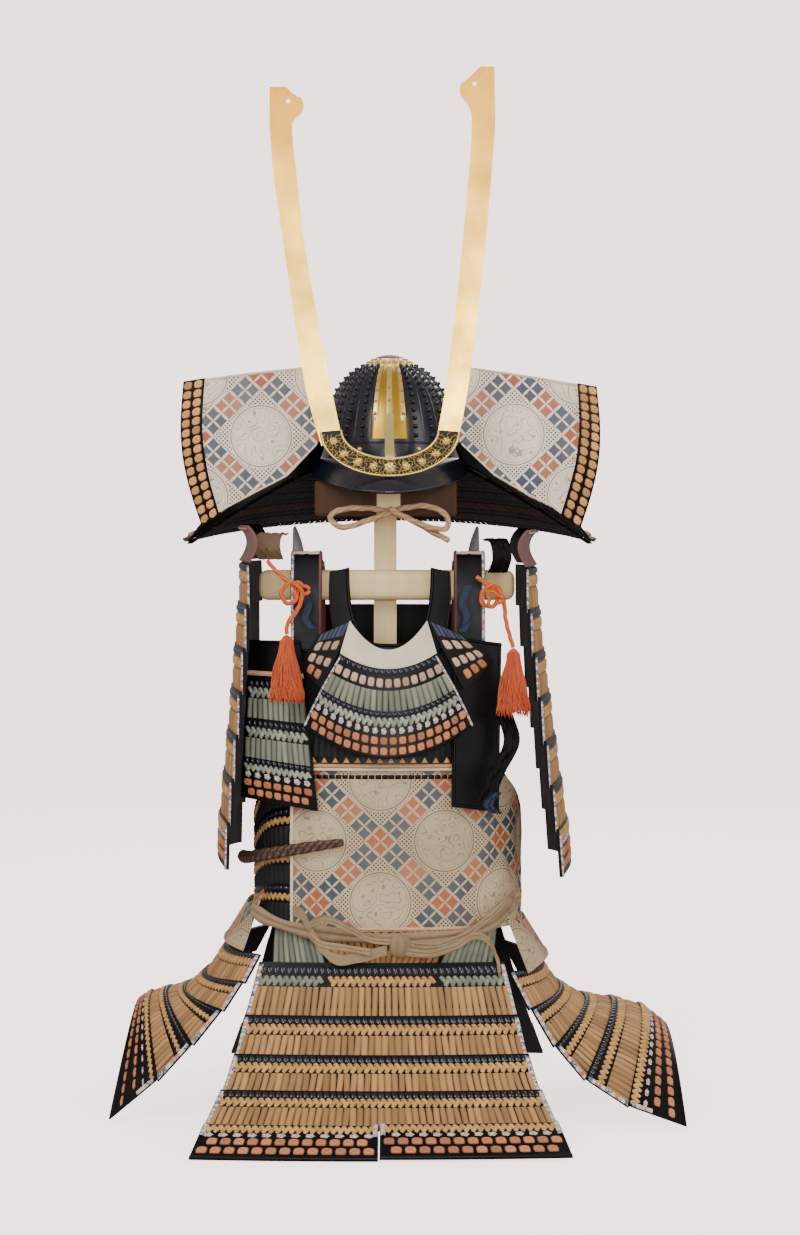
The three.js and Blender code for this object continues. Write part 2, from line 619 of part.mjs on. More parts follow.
function guardFace(form) {
  return (u, v) => {
    const across = 2 * u - 1;
    const half = lerp(SLEEVE.halfDepthTop, SLEEVE.halfDepthHem, v);
    const bulge = SLEEVE.bulge * (1 - across * across);
    const x = form.side * (lerp(form.topX, form.hemX, v ** 1.2) + bulge);
    const droop = SLEEVE.droop * across * across * v;
    return point(x, form.side * across * half, lerp(form.top, form.hem, v) - droop);
  };
}

// The crown plate stands on the guard's top edge and curls inwards and then out again.
function crownPlate(form) {
  return (u, v) => {
    const across = 2 * u - 1;
    const up = 1 - v;
    const bulge = SLEEVE.bulge * (1 - across * across);
    const curl = CROWN.flare * up ** 3 - CROWN.tuck * Math.sin(up * CROWN.wave);
    const x = form.side * (form.topX + CROWN.out + bulge + curl);
    const y = form.side * across * (SLEEVE.halfDepthTop + CROWN.wider);
    return point(x, y, form.top + CROWN.lift + CROWN.height * up);
  };
}

function shoulderGuards() {
  for (const [name, form] of [['right', RIGHT_GUARD], ['left', LEFT_GUARD]]) {
    const panel = rowPanel(guardFace(form), 8, 7, SLEEVE.wall, SLEEVE.step);
    add(`shoulder_guard_${name}`, panel, 'lacing');
    add(`crown_plate_${name}`, plate(crownPlate(form), 8, 4, CROWN.wall), 'lacquer');
  }
}

// ---- Cords, sash and belt ----

const HELMET_CORD = [
  [88, -102, 789], [66, -103, 800], [40, -103, 815], [8, -102, 828], [-30, -101, 834],
  [-66, -101, 830], [-76, -102, 820], [-60, -104, 808], [-30, -107, 815], [0, -112, 826],
  [30, -113, 835], [60, -113, 836], [84, -112, 822], [82, -113, 806], [60, -115, 808],
  [30, -119, 820], [4, -124, 834],
];
const RIGHT_TASSEL_CORD = [
  [-160, -150, 764], [-150, -156, 752], [-136, -162, 739], [-121, -168, 727],
  [-119, -171, 713], [-131, -174, 706], [-140, -177, 719], [-127, -179, 735],
  [-112, -175, 722], [-118, -171, 698], [-131, -172, 680], [-133, -172, 664],
];
const LEFT_TASSEL_CORD = [
  [122, -156, 742], [138, -161, 731], [151, -166, 717], [146, -170, 703],
  [131, -173, 705], [130, -176, 721], [146, -178, 732], [158, -175, 712],
  [162, -172, 682], [172, -170, 646],
];
const TASSEL = { head: 9, body: 20, hem: 25, length: 96, gap: 3.5 };

// A tassel that hangs just below the free end of its cord.
function tassel(cordPoints) {
  const [x, y, end] = cordPoints.at(-1);
  const profile = [
    [0, 0], [TASSEL.head * 0.6, -3], [TASSEL.head, -12], [TASSEL.head * 0.75, -22],
    [TASSEL.body * 0.8, -34], [TASSEL.body, -60], [TASSEL.hem, -TASSEL.length], [0, -TASSEL.length],
  ].reverse().map(([r, z]) => new THREE.Vector2(r, z));
  const solid = bareMesh(new THREE.LatheGeometry(profile, 12));
  solid.rotateX(HALF_PI);
  solid.translate(x, y, end - TASSEL.gap);
  return solid;
}

// Columns: turn in degrees from the front, and height.
const SASH = [[-92, 344], [-70, 352], [-54, 359], [-40, 366], [-24, 375], [-11, 382]];
const SASH_OUT = 11;
// Columns: turn in degrees from the front, height, and distance out.
const BELT_PATH = [
  [-55, 284, 23], [-44, 273, 21], [-26, 262, 20], [-10, 256, 20], [4, 250, 20],
  [20, 255, 20], [38, 268, 18], [60, 300, 16],
];

function softPieces() {
  add('helmet_cord', cord(HELMET_CORD, 8, 28), 'hemp');
  add('tassel_cord_right', cord(RIGHT_TASSEL_CORD, 6, 20), 'silk');
  add('tassel_cord_left', cord(LEFT_TASSEL_CORD, 6, 20), 'silk');
  add('tassel_right', tassel(RIGHT_TASSEL_CORD), 'silk');
  add('tassel_left', tassel(LEFT_TASSEL_CORD), 'silk');

  const sash = [];
  for (const [degrees, z] of SASH) {
    sash.push(torso(degToRad(degrees), z, SASH_OUT).toArray());
  }
  add('side_sash', cord(sash, 17, 10), 'hemp');

  const beltFace = [];
  for (const [degrees, z, out] of BELT_PATH) {
    beltFace.push(torso(degToRad(degrees), z, out).toArray());
  }
  add('belt_band', band(beltFace, BELT.width, BELT.wall, 16), 'leather');
  const knotProfile = [[0, -16], [11, -13], [15, 0], [11, 13], [0, 16]];
  const knot = bareMesh(new THREE.LatheGeometry(
    knotProfile.map(([r, z]) => new THREE.Vector2(r, z)), 10));
  knot.rotateX(HALF_PI);
  knot.translate(20, -185, 246);
  add('belt_knot', knot, 'leather');
  const loop = [
    [2, -184, 240], [-40, -188, 230], [-66, -188, 228], [-92, -180, 252],
    [-112, -168, 286], [-124, -158, 290],
  ];
  add('belt_loop', band(loop, BELT.loopWidth, BELT.wall, 12), 'leather');
}

stand();
helmet();
cuirass();
skirt();
shoulderGuards();
softPieces();

export default armour;
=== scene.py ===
"""Looks of a laced great armour on its wooden stand.

Lengths inside the shape functions are millimetres; meshes are in metres. The armour faces
-Y, Z is up, and right and left are the wearer's, so right is -X.
"""

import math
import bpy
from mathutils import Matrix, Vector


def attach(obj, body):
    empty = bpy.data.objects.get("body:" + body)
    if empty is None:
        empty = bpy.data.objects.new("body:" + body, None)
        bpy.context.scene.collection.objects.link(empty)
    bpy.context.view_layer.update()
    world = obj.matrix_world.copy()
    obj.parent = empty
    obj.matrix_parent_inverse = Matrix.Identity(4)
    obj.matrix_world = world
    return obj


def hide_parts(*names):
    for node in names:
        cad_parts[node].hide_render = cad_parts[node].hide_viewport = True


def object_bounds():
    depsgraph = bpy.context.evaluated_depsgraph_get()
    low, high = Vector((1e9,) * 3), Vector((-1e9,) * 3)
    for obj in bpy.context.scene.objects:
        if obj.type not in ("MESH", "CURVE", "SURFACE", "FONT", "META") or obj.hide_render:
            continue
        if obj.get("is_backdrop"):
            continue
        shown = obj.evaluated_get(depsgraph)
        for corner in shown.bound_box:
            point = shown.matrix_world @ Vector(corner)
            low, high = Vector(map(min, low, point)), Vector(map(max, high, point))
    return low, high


bl_info = {
    "name": "Laced armour looks",
    "version": (1, 0, 0),
    "blender": (4, 5, 0),
    "location": "View3D > Sidebar > Armour",
    "description": "Builds the lacing, leather, metal and cords of an armour on its stand",
    "category": "Object",
}

from types import SimpleNamespace as Sizes

import bpy
import numpy as np
from mathutils import Vector

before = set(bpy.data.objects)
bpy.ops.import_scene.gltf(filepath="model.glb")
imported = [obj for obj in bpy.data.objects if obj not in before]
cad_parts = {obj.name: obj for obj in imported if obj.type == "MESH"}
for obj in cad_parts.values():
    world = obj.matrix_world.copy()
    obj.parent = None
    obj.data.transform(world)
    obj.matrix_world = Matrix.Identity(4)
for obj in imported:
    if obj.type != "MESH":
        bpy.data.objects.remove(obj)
CAD_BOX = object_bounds()
MM = 0.001

# ---- Sizes shared with the solids, in millimetres and degrees ----
BOWL = Sizes(x=5, half_width=98, half_depth=115, base=897, height=139, fullness=0.8, crown=84)
VISOR = Sizes(spread=72, width=116, reach=178, front=855, side=884, out=5.5, rise=6, arch=5)
HOLDER = Sizes(y=-162, x=6, inner_half=64, outer_half=94, inner=902, outer=876.5,
               inner_rise=37, outer_rise=60)
NECK = Sizes(spread=106, top_x=104, top_y=121, top=894, rim_x=289, rim_y=230, side=790, back=820)
NECK_ROWS = 5
TURNBACK = Sizes(bow=14, arch=6)
TORSO = Sizes(half_width=190, half_depth=145, square=2.6, top=479, bottom=259)
FRONT_ARC = (-38, 100)
BACK_ARC = (101.5, 245)
SIDE_ARC = (-126, -30)
ARMHOLE = Sizes(drop=74, at=93, spread=28)
CHEST = Sizes(front=150, curve=0.0012, lean=0.1, breast=480)
BACK_BOARD = Sizes(top_half=118, foot_half=150, top=695, foot=481.5)
STRAP = Sizes(right=87, left=93, width=43)
LEAF = Sizes(x=117, lean=12, y=4, half=44, foot=760.6, height=47, round=1.25)
COLLAR = Sizes(x=6, inner=57, outer=81, wider=14, out=6)
SLEEVE = Sizes(top=148, hem=165, bulge=19, droop=6)
SLEEVE_ROWS = 7
CROWN = Sizes(lift=4, height=46, out=6, wider=2, tuck=12, flare=9, wave=2.4)
SKIRT_ROWS = 5

# How far the head of each row stands out from its foot.
LAME_STEP = 5.2
PANEL_STEP = 2.6
BOARD_STEP = 2.0
SLEEVE_STEP = 5.4
LAME_OVERLAP = 0.15
# In rows: how far below even steps the seams of the front skirt lie.
SEAM_LOW = 0.26

# Columns: x and z of the top edge, x and z of the bottom edge, and y.
RIGHT_TURNBACK = np.array([
    [-278, 1007, -253, 808, -64], [-236, 1013, -219, 832, -80], [-194, 1018, -180, 853, -90],
    [-154, 1022, -134, 877, -98], [-114, 1026, -94, 920, -98]], float)
LEFT_TURNBACK = np.array([
    [290, 1000, 268, 806, -64], [252, 1006, 230, 834, -80], [208, 1013, 196, 850, -90],
    [166, 1019, 148, 878, -98], [121, 1025, 104, 920, -98]], float)
# Columns: half of the width, y, z.
FRONT_SKIRT = np.array([[165, -165, 220], [180, -191, 164], [192, -231, 117],
                        [206, -277, 76], [225, -330, 43], [246, -392, 3.5]], float)
BACK_SKIRT = np.array([[158, 152, 256], [174, 172, 200], [188, 204, 150],
                       [203, 245, 100], [220, 294, 54], [238, 350, 4]], float)
# Columns: x and z of the near edge, x and z of the crest, half of the depth.
RIGHT_SKIRT = np.array([
    [-168, 225, -221, 222, 148], [-192, 188, -252, 180, 152], [-221, 150, -282, 157, 156],
    [-262, 104, -308, 153, 160], [-310, 56, -332, 147, 164], [-376, 5, -352, 138, 168]], float)
LEFT_SKIRT = np.array([
    [166, 202, 215, 196, 150], [196, 152, 243, 160, 158], [229, 103, 280, 142, 168],
    [270, 60, 318, 139, 180], [328, 27, 360, 128, 196], [405, 5, 398, 102, 212]], float)
# Columns: half of the width, z at the sides, sag of the middle.
THROAT_APRON = np.array([[52, 682, 39], [66, 636, 20], [79, 613, 25], [92, 590, 31],
                         [104, 566, 38], [115, 542, 44]], float)
# Chest plates: x and z down the left edge, the same down the right edge, and how far out the
# top and the foot lie.
BREAST = ([[-128, 641], [-150, 481.5]], [[128, 641], [150, 481.5]], 0, 0)
SENDAN = ([[-186, 653], [-198, 440]], [[-116, 653], [-92, 424]], 9, 12)
KYUBI = ([[92, 660], [90, 430]], [[158, 650], [154, 421]], 11, 13)
APRON_SIDES = {"right": ([[-90, 662], [-117, 618]], [[-44, 684], [-86, 588]], 16, 19),
               "left": ([[56, 684], [106, 588]], [[102, 662], [150, 626]], 16, 19)}
# Shoulder guards: side, sign, heights of the top and the hem, and x of both.
GUARDS = (("right", -1, 758, 352, 180, 215), ("left", 1, 752, 342, 186, 239))
# Waist leathers: side, sign, height of the top, and how far the near corners go up and down.
WAIST_FLAPS = (("right", -1, 285, 26, 4), ("left", 1, 262, 8, 12))

# ---- Paths of straps, cords and bands: x, y, z ----
STRAP_PATH = [(0, 104, 640), (0, 103, 700), (0, 88, 740), (0, 48, 757), (0, 0, 757.5),
              (0, -42, 758), (0, -60, 768), (0, -78, 774), (0, -94, 766), (0, -103, 735),
              (0, -106.5, 690), (0, -106.5, 628)]
PRONG_PATH = [(5, -121, 962), (5, -130, 948), (5.4, -147, 926), (5.8, -163.5, 906),
              (6, -166, 899)]
HELMET_CORD = [(88, -102, 789), (66, -103, 800), (40, -103, 815), (8, -102, 828),
               (-30, -101, 834), (-66, -101, 830), (-76, -102, 820), (-60, -104, 808),
               (-30, -107, 815), (0, -112, 826), (30, -113, 835), (60, -113, 836),
               (84, -112, 822), (82, -113, 806), (60, -115, 808), (30, -119, 820),
               (4, -124, 834)]
RIGHT_TASSEL_CORD = [(-160, -150, 764), (-150, -156, 752), (-136, -162, 739),
                     (-121, -168, 727), (-119, -171, 713), (-131, -174, 706),
                     (-140, -177, 719), (-127, -179, 735), (-112, -175, 722),
                     (-118, -171, 698), (-131, -172, 680), (-133, -172, 664)]
LEFT_TASSEL_CORD = [(122, -156, 742), (138, -161, 731), (151, -166, 717), (146, -170, 703),
                    (131, -173, 705), (130, -176, 721), (146, -178, 732), (158, -175, 712),
                    (162, -172, 682), (172, -170, 646)]
# Tassels: the girth at each part of the fall.
TASSEL_FALL = [0, 0.03, 0.08, 0.16, 0.24, 0.5, 0.8, 1]
TASSEL_GIRTH = [2, 6, 7.5, 8, 9, 15, 19, 21]
TASSEL = Sizes(gap=0.4, core=86, strand=82, longer=12, strands=150)
# Columns of both: turn in degrees from the front, height, distance out.
SASH = [(-92, 344, 11), (-70, 352, 11), (-54, 359, 11), (-40, 366, 11), (-24, 375, 11),
        (-11, 382, 11)]
BELT_PATH = [(-55, 284, 23), (-44, 273, 21), (-26, 262, 20), (-10, 256, 20), (4, 250, 20),
             (20, 255, 20), (38, 268, 18), (60, 300, 16)]
BELT_LOOP = [(2, -184, 240), (-40, -188, 230), (-66, -188, 228), (-92, -180, 252),
             (-112, -168, 286), (-124, -158, 290)]
BELT_KNOT = Sizes(x=20, y=-185, z=246, half_width=14, half_depth=13, half_height=16)
# Loose ends of the belt: name, path, width, how it lies.
BELT_ENDS = (
    ("belt_upper",
     [(16, -186, 252), (-20, -190, 256), (-52, -189, 272), (-84, -184, 282),
      (-104, -178, 268), (-92, -184, 250), (-60, -191, 244), (-20, -194, 238)], 10, "folded"),
    ("belt_right",
     [(24, -188, 250), (60, -190, 246), (96, -182, 254), (128, -170, 272),
      (158, -152, 296), (172, -140, 312), (176, -136, 300), (168, -146, 286)], 10, "folded"),
    ("belt_tail",
     [(22, -192, 240), (56, -194, 236), (92, -188, 244), (120, -180, 258),
      (140, -172, 250), (150, -172, 226), (154, -180, 204)], 11, "hung"))
BRAIDS = ([(-112, -156, 722), (-104, -164, 704), (-108, -166, 686), (-98, -166, 672)],
          [(112, -156, 730), (104, -164, 706), (110, -166, 684), (104, -166, 668)])
BRAID_KNOTS = ((-114, -170, 724), (146, -178, 712))
# Folded leathers at the shoulders and under the left plate: path, width, finish.
FOLDED_LEATHERS = (
    ([(-150, -92, 800), (-158, -118, 798), (-160, -128, 780), (-156, -120, 764)], 34,
     "brown_leather"),
    ([(146, -96, 792), (154, -122, 790), (158, -132, 766), (152, -124, 746)], 26, "lining"),
    ([(160, -150, 560), (170, -172, 520), (150, -176, 478), (134, -176, 440)], 22, "lining"),
    ([(150, -178, 452), (138, -180, 436), (150, -182, 424)], 14, "navy"))

# ---- Helmet fittings ----
RIBS = Sizes(count=24, half=1.2, tall=1.5, top=0.06, foot=0.84)
RIVETS = Sizes(rows=12, top=0.14, foot=0.82, tall=5.2)
# Gilt field: places on the bowl's face, half widths, and the power by which it widens.
FIELD = Sizes(top=0.06, foot=0.845, narrow=9.0, wide=26.5, power=0.7)
# Bars of the gilt field: place across it, half width, foot.
FIELD_BARS = ((-0.78, 4.2, 0.72), (0.0, 6.0, 0.845), (0.78, 4.2, 0.72))
# Steps of the finial from its rim inwards: radius, height, how far the petals wave.
FINIAL = np.array([(39, 1030.5, 1), (38, 1033.5, 1), (32, 1035, 0.6), (31, 1038, 0.8),
                   (26, 1039, 0.4), (25.5, 1041.5, 0.4), (21, 1042, 0)], float)
FINIAL_CAP = Sizes(radius=24, foot=1037, height=10.5)
# Rows of scroll leaves in the crest holder: place down it, shift along it in leaves.
SCROLL_ROWS = ((0.14, 0.0), (0.3, 0.5), (0.5, 0.25), (0.7, 0.5), (0.86, 0.0))

# ---- Sizes of the lacing ----
LACE = 9.0
KNOT = 18.2
END_MARGIN = 3.0
BINDING = Sizes(half=3.4, tall=2.8)
# Part of a face over which its slopes are measured.
SLOPE_STEP = 0.003
# Edges sharper than this many degrees stay sharp.
SHARP = 55

# Folds of the printed leather: across, down, slant, width, length, depth in millimetres.
BODY_FOLDS = (
    (0.04, 0.30, 0.05, 0.02, 0.30, 2.2), (0.10, 0.72, -0.12, 0.022, 0.22, 1.8),
    (0.30, 0.88, 0.30, 0.03, 0.10, 1.6), (0.44, 0.20, -0.20, 0.026, 0.14, 1.2),
    (0.58, 0.80, 0.34, 0.024, 0.16, 1.9), (0.66, 0.36, -0.16, 0.024, 0.24, 1.8),
    (0.73, 0.62, 0.22, 0.018, 0.20, 2.6), (0.79, 0.30, -0.10, 0.016, 0.26, 2.4),
    (0.84, 0.70, 0.16, 0.016, 0.20, 2.8), (0.91, 0.45, -0.08, 0.018, 0.30, 2.2),
    (0.96, 0.75, 0.12, 0.016, 0.18, 2.0), (0.20, 0.15, 0.10, 0.02, 0.12, 1.0))
TURNED_FOLDS = (
    (0.35, 0.04, 0.5, 0.03, 0.10, 2.0), (0.60, 0.10, -0.40, 0.03, 0.12, 1.6),
    (0.30, 0.70, 0.10, 0.03, 0.24, 1.6), (0.52, 0.55, -0.30, 0.034, 0.20, 1.2),
    (0.76, 0.50, 0.20, 0.03, 0.26, 1.8), (0.45, 0.92, 0.40, 0.03, 0.10, 1.8))

# ---- Print, wood and stage ----
# Printed leather, in millimetres.
CELL = Sizes(half_x=44, half_z=42)
PETAL = Sizes(x=10.6, z=10.2, power=0.8, size=6.2, reach=0.3)
RING = Sizes(outer=41.5, inner=38, clear=44, scroll=36)
DOT_TURN = 1.06
# The dark block of the stand, part stain and part painted shade under the helmet, in metres.
HEAD_BLOCK = Sizes(foot=0.815, middle=0.004, post=0.016)
# The round sweep, in metres: rings of its floor, radius of its bend, height of its wall.
SWEEP = Sizes(rings=[0.02, 2.5, 5.2], bend=2.6, wall=11)
CAMERA_X = 0.0196
LIGHT_AIM = (0, 0, 0.6)
# Lights: name, place, size, and the setting that gives its power.
LIGHTS = (("key", (-2.2, -3.2, 3.2), 2.4, "key"), ("fill", (2.8, -2.4, 2.2), 2.6, "fill"),
          ("front", (0.1, -5.4, 1.15), 1.5, "front"), ("rim", (0.6, 2.8, 2.8), 2.6, "fill"))


# ---- Points and curves ----
def xyz(x, y, z):
    """Three arrays of any matching shapes as one array of points."""
    return np.stack(np.broadcast_arrays(x, y, z), axis=-1).astype(float)


def lerp(a, b, t):
    """The value at the part t of the way from a to b."""
    return a + (b - a) * t


def along(values, t):
    """The value at t in evenly spaced values joined by straight lines, carried on past
    both ends."""
    values = np.asarray(values, float)
    place = np.asarray(t, float) * (len(values) - 1)
    first = np.clip(np.floor(place).astype(int), 0, len(values) - 2)
    return values[first] + (values[first + 1] - values[first]) * (place - first)


def length_of(vectors):
    """Square root of the sum of the squares of each vector's numbers."""
    return np.linalg.norm(vectors, axis=-1)


def unit(vectors):
    """Each vector divided by its length."""
    return vectors / np.maximum(length_of(vectors), 1e-9)[..., None]


def runs(points):
    """Length along a line of points up to each of them."""
    return np.concatenate([[0], np.cumsum(length_of(np.diff(points, axis=0)))])


def circle(count):
    """Even angles round a circle."""
    return np.linspace(0, 2 * np.pi, count, endpoint=False)


def curve(points):
    """A smooth curve through points: each stretch is the cubic whose end slopes come from
    its neighbours, with the square roots of the distances as its spacing."""
    p = np.asarray(points, float)
    p = np.vstack([2 * p[0] - p[1], p, 2 * p[-1] - p[-2]])
    gap = np.sqrt(length_of(np.diff(p, axis=0)))[:, None]
    p0, p1, p2, p3 = p[:-3], p[1:-2], p[2:-1], p[3:]
    d0, d1, d2 = gap[:-2], gap[1:-1], gap[2:]
    start = ((p1 - p0) / d0 - (p2 - p0) / (d0 + d1) + (p2 - p1) / d1) * d1
    end = ((p2 - p1) / d1 - (p3 - p1) / (d1 + d2) + (p3 - p2) / d2) * d1
    square = -3 * p1 + 3 * p2 - 2 * start - end
    cube = 2 * p1 - 2 * p2 + start + end

    def at(t):
        place = np.clip(t, 0, 1) * len(p1)
        i = np.clip(np.asarray(place).astype(int), 0, len(p1) - 1)
        f = (place - i)[..., None]
        return p1[i] + f * (start[i] + f * (square[i] + f * cube[i]))
    return at


def spaced(points, count):
    """Points at even lengths along the smooth curve through points."""
    fine = curve(points)(np.linspace(0, 1, 600))
    run = runs(fine)
    marks = np.linspace(0, run[-1], count)
    return np.stack([np.interp(marks, run, fine[:, k]) for k in range(3)], axis=-1)


def run_length(points):
    """Length of the smooth curve through points, as the sum of its short chords."""
    return float(length_of(np.diff(spaced(points, 400), axis=0)).sum())


# ---- Faces: each is a function of u, left to right, and w, top to bottom ----
def slopes(face, u, w):
    """How far a face goes right and down over a short step on both sides of a place."""
    right = face(u + SLOPE_STEP, w) - face(u - SLOPE_STEP, w)
    down = face(u, w + SLOPE_STEP) - face(u, w - SLOPE_STEP)
    return right, down


def facing(face, u, w):
    """Outward normal of a face: its downward slope crossed with its rightward slope."""
    right, down = slopes(face, u, w)
    return unit(np.cross(down, right))


def push(face, u, w, out):
    """Points of a face moved out along its normals."""
    return face(u, w) + facing(face, u, w) * np.asarray(out)[..., None]


def lifted(face, out):
    """A face that lies out by the same distance everywhere."""
    return lambda u, w: push(face, u, w, out)


def row_face(face, rows, row, step, overlap=0.12, low=0.0):
    """One row of a laced panel: w is 0 at its head and 1 at its foot, and the head stands
    out by step, falling evenly to nothing at the foot. Every seam between rows lies low
    rows further down."""
    head = row + low * (row > 0)
    foot = row + 1 + low * (row + 1 < rows)

    def one(u, w):
        stand = step * np.clip(1 - w, 0, 1 + overlap) / (1 + overlap)
        return push(face, u, lerp(head, foot, w) / rows, stand)
    return one


def creased(face, folds):
    """A face with soft folds: each row of folds is a trough along a slanted line, deep
    millimetres in, that fades as a bell across the line and along it."""
    def one(u, w):
        out = 0 * (u + w)
        for across, down, slant, wide, long, deep in folds:
            off = (u - across - slant * (w - down)) / wide
            out = out - deep * np.exp(-off ** 2 - ((w - down) / long) ** 2)
        return push(face, u, w, out)
    return one


def bowl(turn, rise, out=0.0):
    """An ellipsoid whose plan radius is cos(rise) to a power below 1, so it is full."""
    ring = np.maximum(np.cos(rise), 1e-6) ** BOWL.fullness
    return xyz(BOWL.x + (BOWL.half_width + out) * np.sin(turn) * ring,
               -(BOWL.half_depth + out) * np.cos(turn) * ring,
               BOWL.base + (BOWL.height + out) * np.sin(rise))


def bowl_face(u, w):
    """The bowl from back round the front to back, and from near its crown to its rim."""
    return bowl(math.pi * (2 * u - 1), math.radians(BOWL.crown) * (1 - w))


def visor(u, w):
    """Straight lines from just outside the bowl's rim to an ellipse in front, arched by a
    sine. The ellipse rises or falls with one minus the cosine of its turn."""
    spread = math.radians(VISOR.spread)
    turn = spread * (2 * u - 1)
    fall = (1 - np.cos(turn)) / (1 - math.cos(spread))
    start = bowl(turn, 0 * turn, VISOR.out) + np.array([0, 0, VISOR.rise])
    end = xyz(BOWL.x + VISOR.width * np.sin(turn), -VISOR.reach * np.cos(turn),
              lerp(VISOR.front, VISOR.side, fall))
    arch = xyz(0, 0, VISOR.arch * np.sin(np.pi * np.clip(w, 0, 1)))
    return start + (end - start) * np.asarray(w)[..., None] + arch


def holder(u, w):
    """A flat crescent: both edges are a sine across and rise to their ends with one minus
    the cosine, and straight lines join them."""
    t = math.pi / 2 * (2 * u - 1)
    inner = HOLDER.inner + HOLDER.inner_rise * (1 - np.cos(t))
    outer = HOLDER.outer + HOLDER.outer_rise * (1 - np.cos(t))
    half = lerp(HOLDER.inner_half, HOLDER.outer_half, w)
    return xyz(HOLDER.x + half * np.sin(t), HOLDER.y, lerp(inner, outer, w))


def neck_guard(u, w):
    """Straight lines in plan from a small arc to a wide one. The drop grows as a power of w,
    and a power of the cosine makes it less at the back."""
    turn = math.radians(NECK.spread) * (1 - 2 * u)
    back = np.maximum(0, np.cos(turn)) ** 1.5
    rim = lerp(NECK.side, NECK.back, back)
    return xyz(BOWL.x + lerp(NECK.top_x, NECK.rim_x, w) * np.sin(turn),
               lerp(NECK.top_y, NECK.rim_y, w) * np.cos(turn),
               lerp(NECK.top, rim, np.maximum(w, 0) ** 1.15))


def flipped(mirrored):
    """Turns u round on the mirrored side and leaves it as it is on the other."""
    return (lambda u: 1 - u) if mirrored else (lambda u: u)


def turnback(table, mirrored):
    """Straight lines between two edges read from a table, bowed outwards and forwards by a
    sine that fades towards the helmet."""
    side = 1 if mirrored else -1
    flip = flipped(mirrored)

    def face(u, w):
        across = flip(u)
        arch = np.sin(np.pi * np.clip(w, 0, 1))
        bow = side * TURNBACK.bow * arch * (1 - across)
        x = lerp(along(table[:, 0], across), along(table[:, 2], across), w) + bow
        z = lerp(along(table[:, 1], across), along(table[:, 3], across), w)
        return xyz(x, along(table[:, 4], across) - TURNBACK.arch * arch, z)
    return face


def torso(degrees, z, out=0.0):
    """A rounded box in plan: sine and cosine raised to a power below 1, signs kept."""
    turn = np.radians(degrees)
    power = 2 / TORSO.square
    side = np.sign(np.sin(turn)) * np.abs(np.sin(turn)) ** power
    front = np.sign(np.cos(turn)) * np.abs(np.cos(turn)) ** power
    return xyz((TORSO.half_width + out) * side, -(TORSO.half_depth + out) * front, z)


def armhole(degrees):
    """Height of the body's top line, which dips as a bell under each arm."""
    around = np.minimum(np.abs(degrees), 360 - np.abs(degrees))
    return TORSO.top - ARMHOLE.drop * np.exp(
        -((around - ARMHOLE.at) / ARMHOLE.spread) ** 2)


def torso_arc(start, end, bottom, out=0.0):
    """The body from one turn to another, straight down from its top line."""
    def face(u, w):
        degrees = lerp(start, end, u)
        return torso(degrees, lerp(armhole(degrees), bottom, w), out)
    return face


def chest(x, z, out):
    """A place on the chest: it falls back with the square of x, and evenly above the breast."""
    lean = CHEST.lean * np.maximum(0, z - CHEST.breast)
    return xyz(x, -(CHEST.front + out) + CHEST.curve * x * x + lean, z)


def chest_piece(left, right, out_top, out_foot):
    """Straight lines across the chest between a left and a right edge read from tables."""
    left, right = np.array(left, float), np.array(right, float)

    def face(u, w):
        x = lerp(along(left[:, 0], w), along(right[:, 0], w), u)
        z = lerp(along(left[:, 1], w), along(right[:, 1], w), u)
        return chest(x, z, lerp(out_top, out_foot, w))
    return face


def throat_apron(u, w):
    """Rows whose half width and height come from a table, and whose middle sags as a
    parabola."""
    across = 2 * u - 1
    z = along(THROAT_APRON[:, 1], w) - along(THROAT_APRON[:, 2], w) * (1 - across ** 2)
    return chest(4 + across * along(THROAT_APRON[:, 0], w), z, lerp(27, 31, w))


def back_board(u, w):
    """A board that widens evenly downwards, on the curve of the chest turned to the back."""
    x = lerp(1, -1, u) * lerp(BACK_BOARD.top_half, BACK_BOARD.foot_half, w)
    return chest(x, lerp(BACK_BOARD.top, BACK_BOARD.foot, w), 0) * np.array([1, -1, 1])


def strap(side, inner):
    """A level band of even width along a smooth curve over the shoulder."""
    path = curve(STRAP_PATH)
    edges = sorted([side * inner, side * (inner + STRAP.width)])
    return lambda u, w: path(w) + xyz(lerp(edges[0], edges[1], u), 0, 0)


def leaf(side):
    """A standing leaf: its height is a cosine across, and it leans out with the square of
    the way up."""
    def face(u, w):
        across = side * (2 * u - 1)
        up = 1 - w
        return xyz(side * (LEAF.x + LEAF.lean * up * up), LEAF.y + across * LEAF.half,
                   LEAF.foot + LEAF.height * np.cos(across * LEAF.round) * up)
    return face


def collar(u, w):
    """An arc round the neck: a sine across, whose edges rise to both ends as powers of one
    minus the cosine."""
    t = math.pi / 2 * (2 * u - 1)
    rise = np.maximum(1 - np.cos(t), 0)
    half = lerp(COLLAR.inner, COLLAR.outer + COLLAR.wider * np.cos(t), w)
    z = lerp(649 + 104 * rise ** 1.6, 610 + 138 * rise ** 1.35, w)
    return chest(COLLAR.x + half * np.sin(t), z, COLLAR.out)


def spread_skirt(table, side, x, bow):
    """Half width, depth and height from a table, bowed out in the middle as a parabola."""
    def face(u, w):
        across = side * (2 * u - 1)
        return xyz(x + along(table[:, 0], w) * across,
                   along(table[:, 1], w) + bow * (1 - across ** 2), along(table[:, 2], w))
    return face


front_skirt = spread_skirt(FRONT_SKIRT, 1, -5, -12)
back_skirt = spread_skirt(BACK_SKIRT, -1, 0, 16)


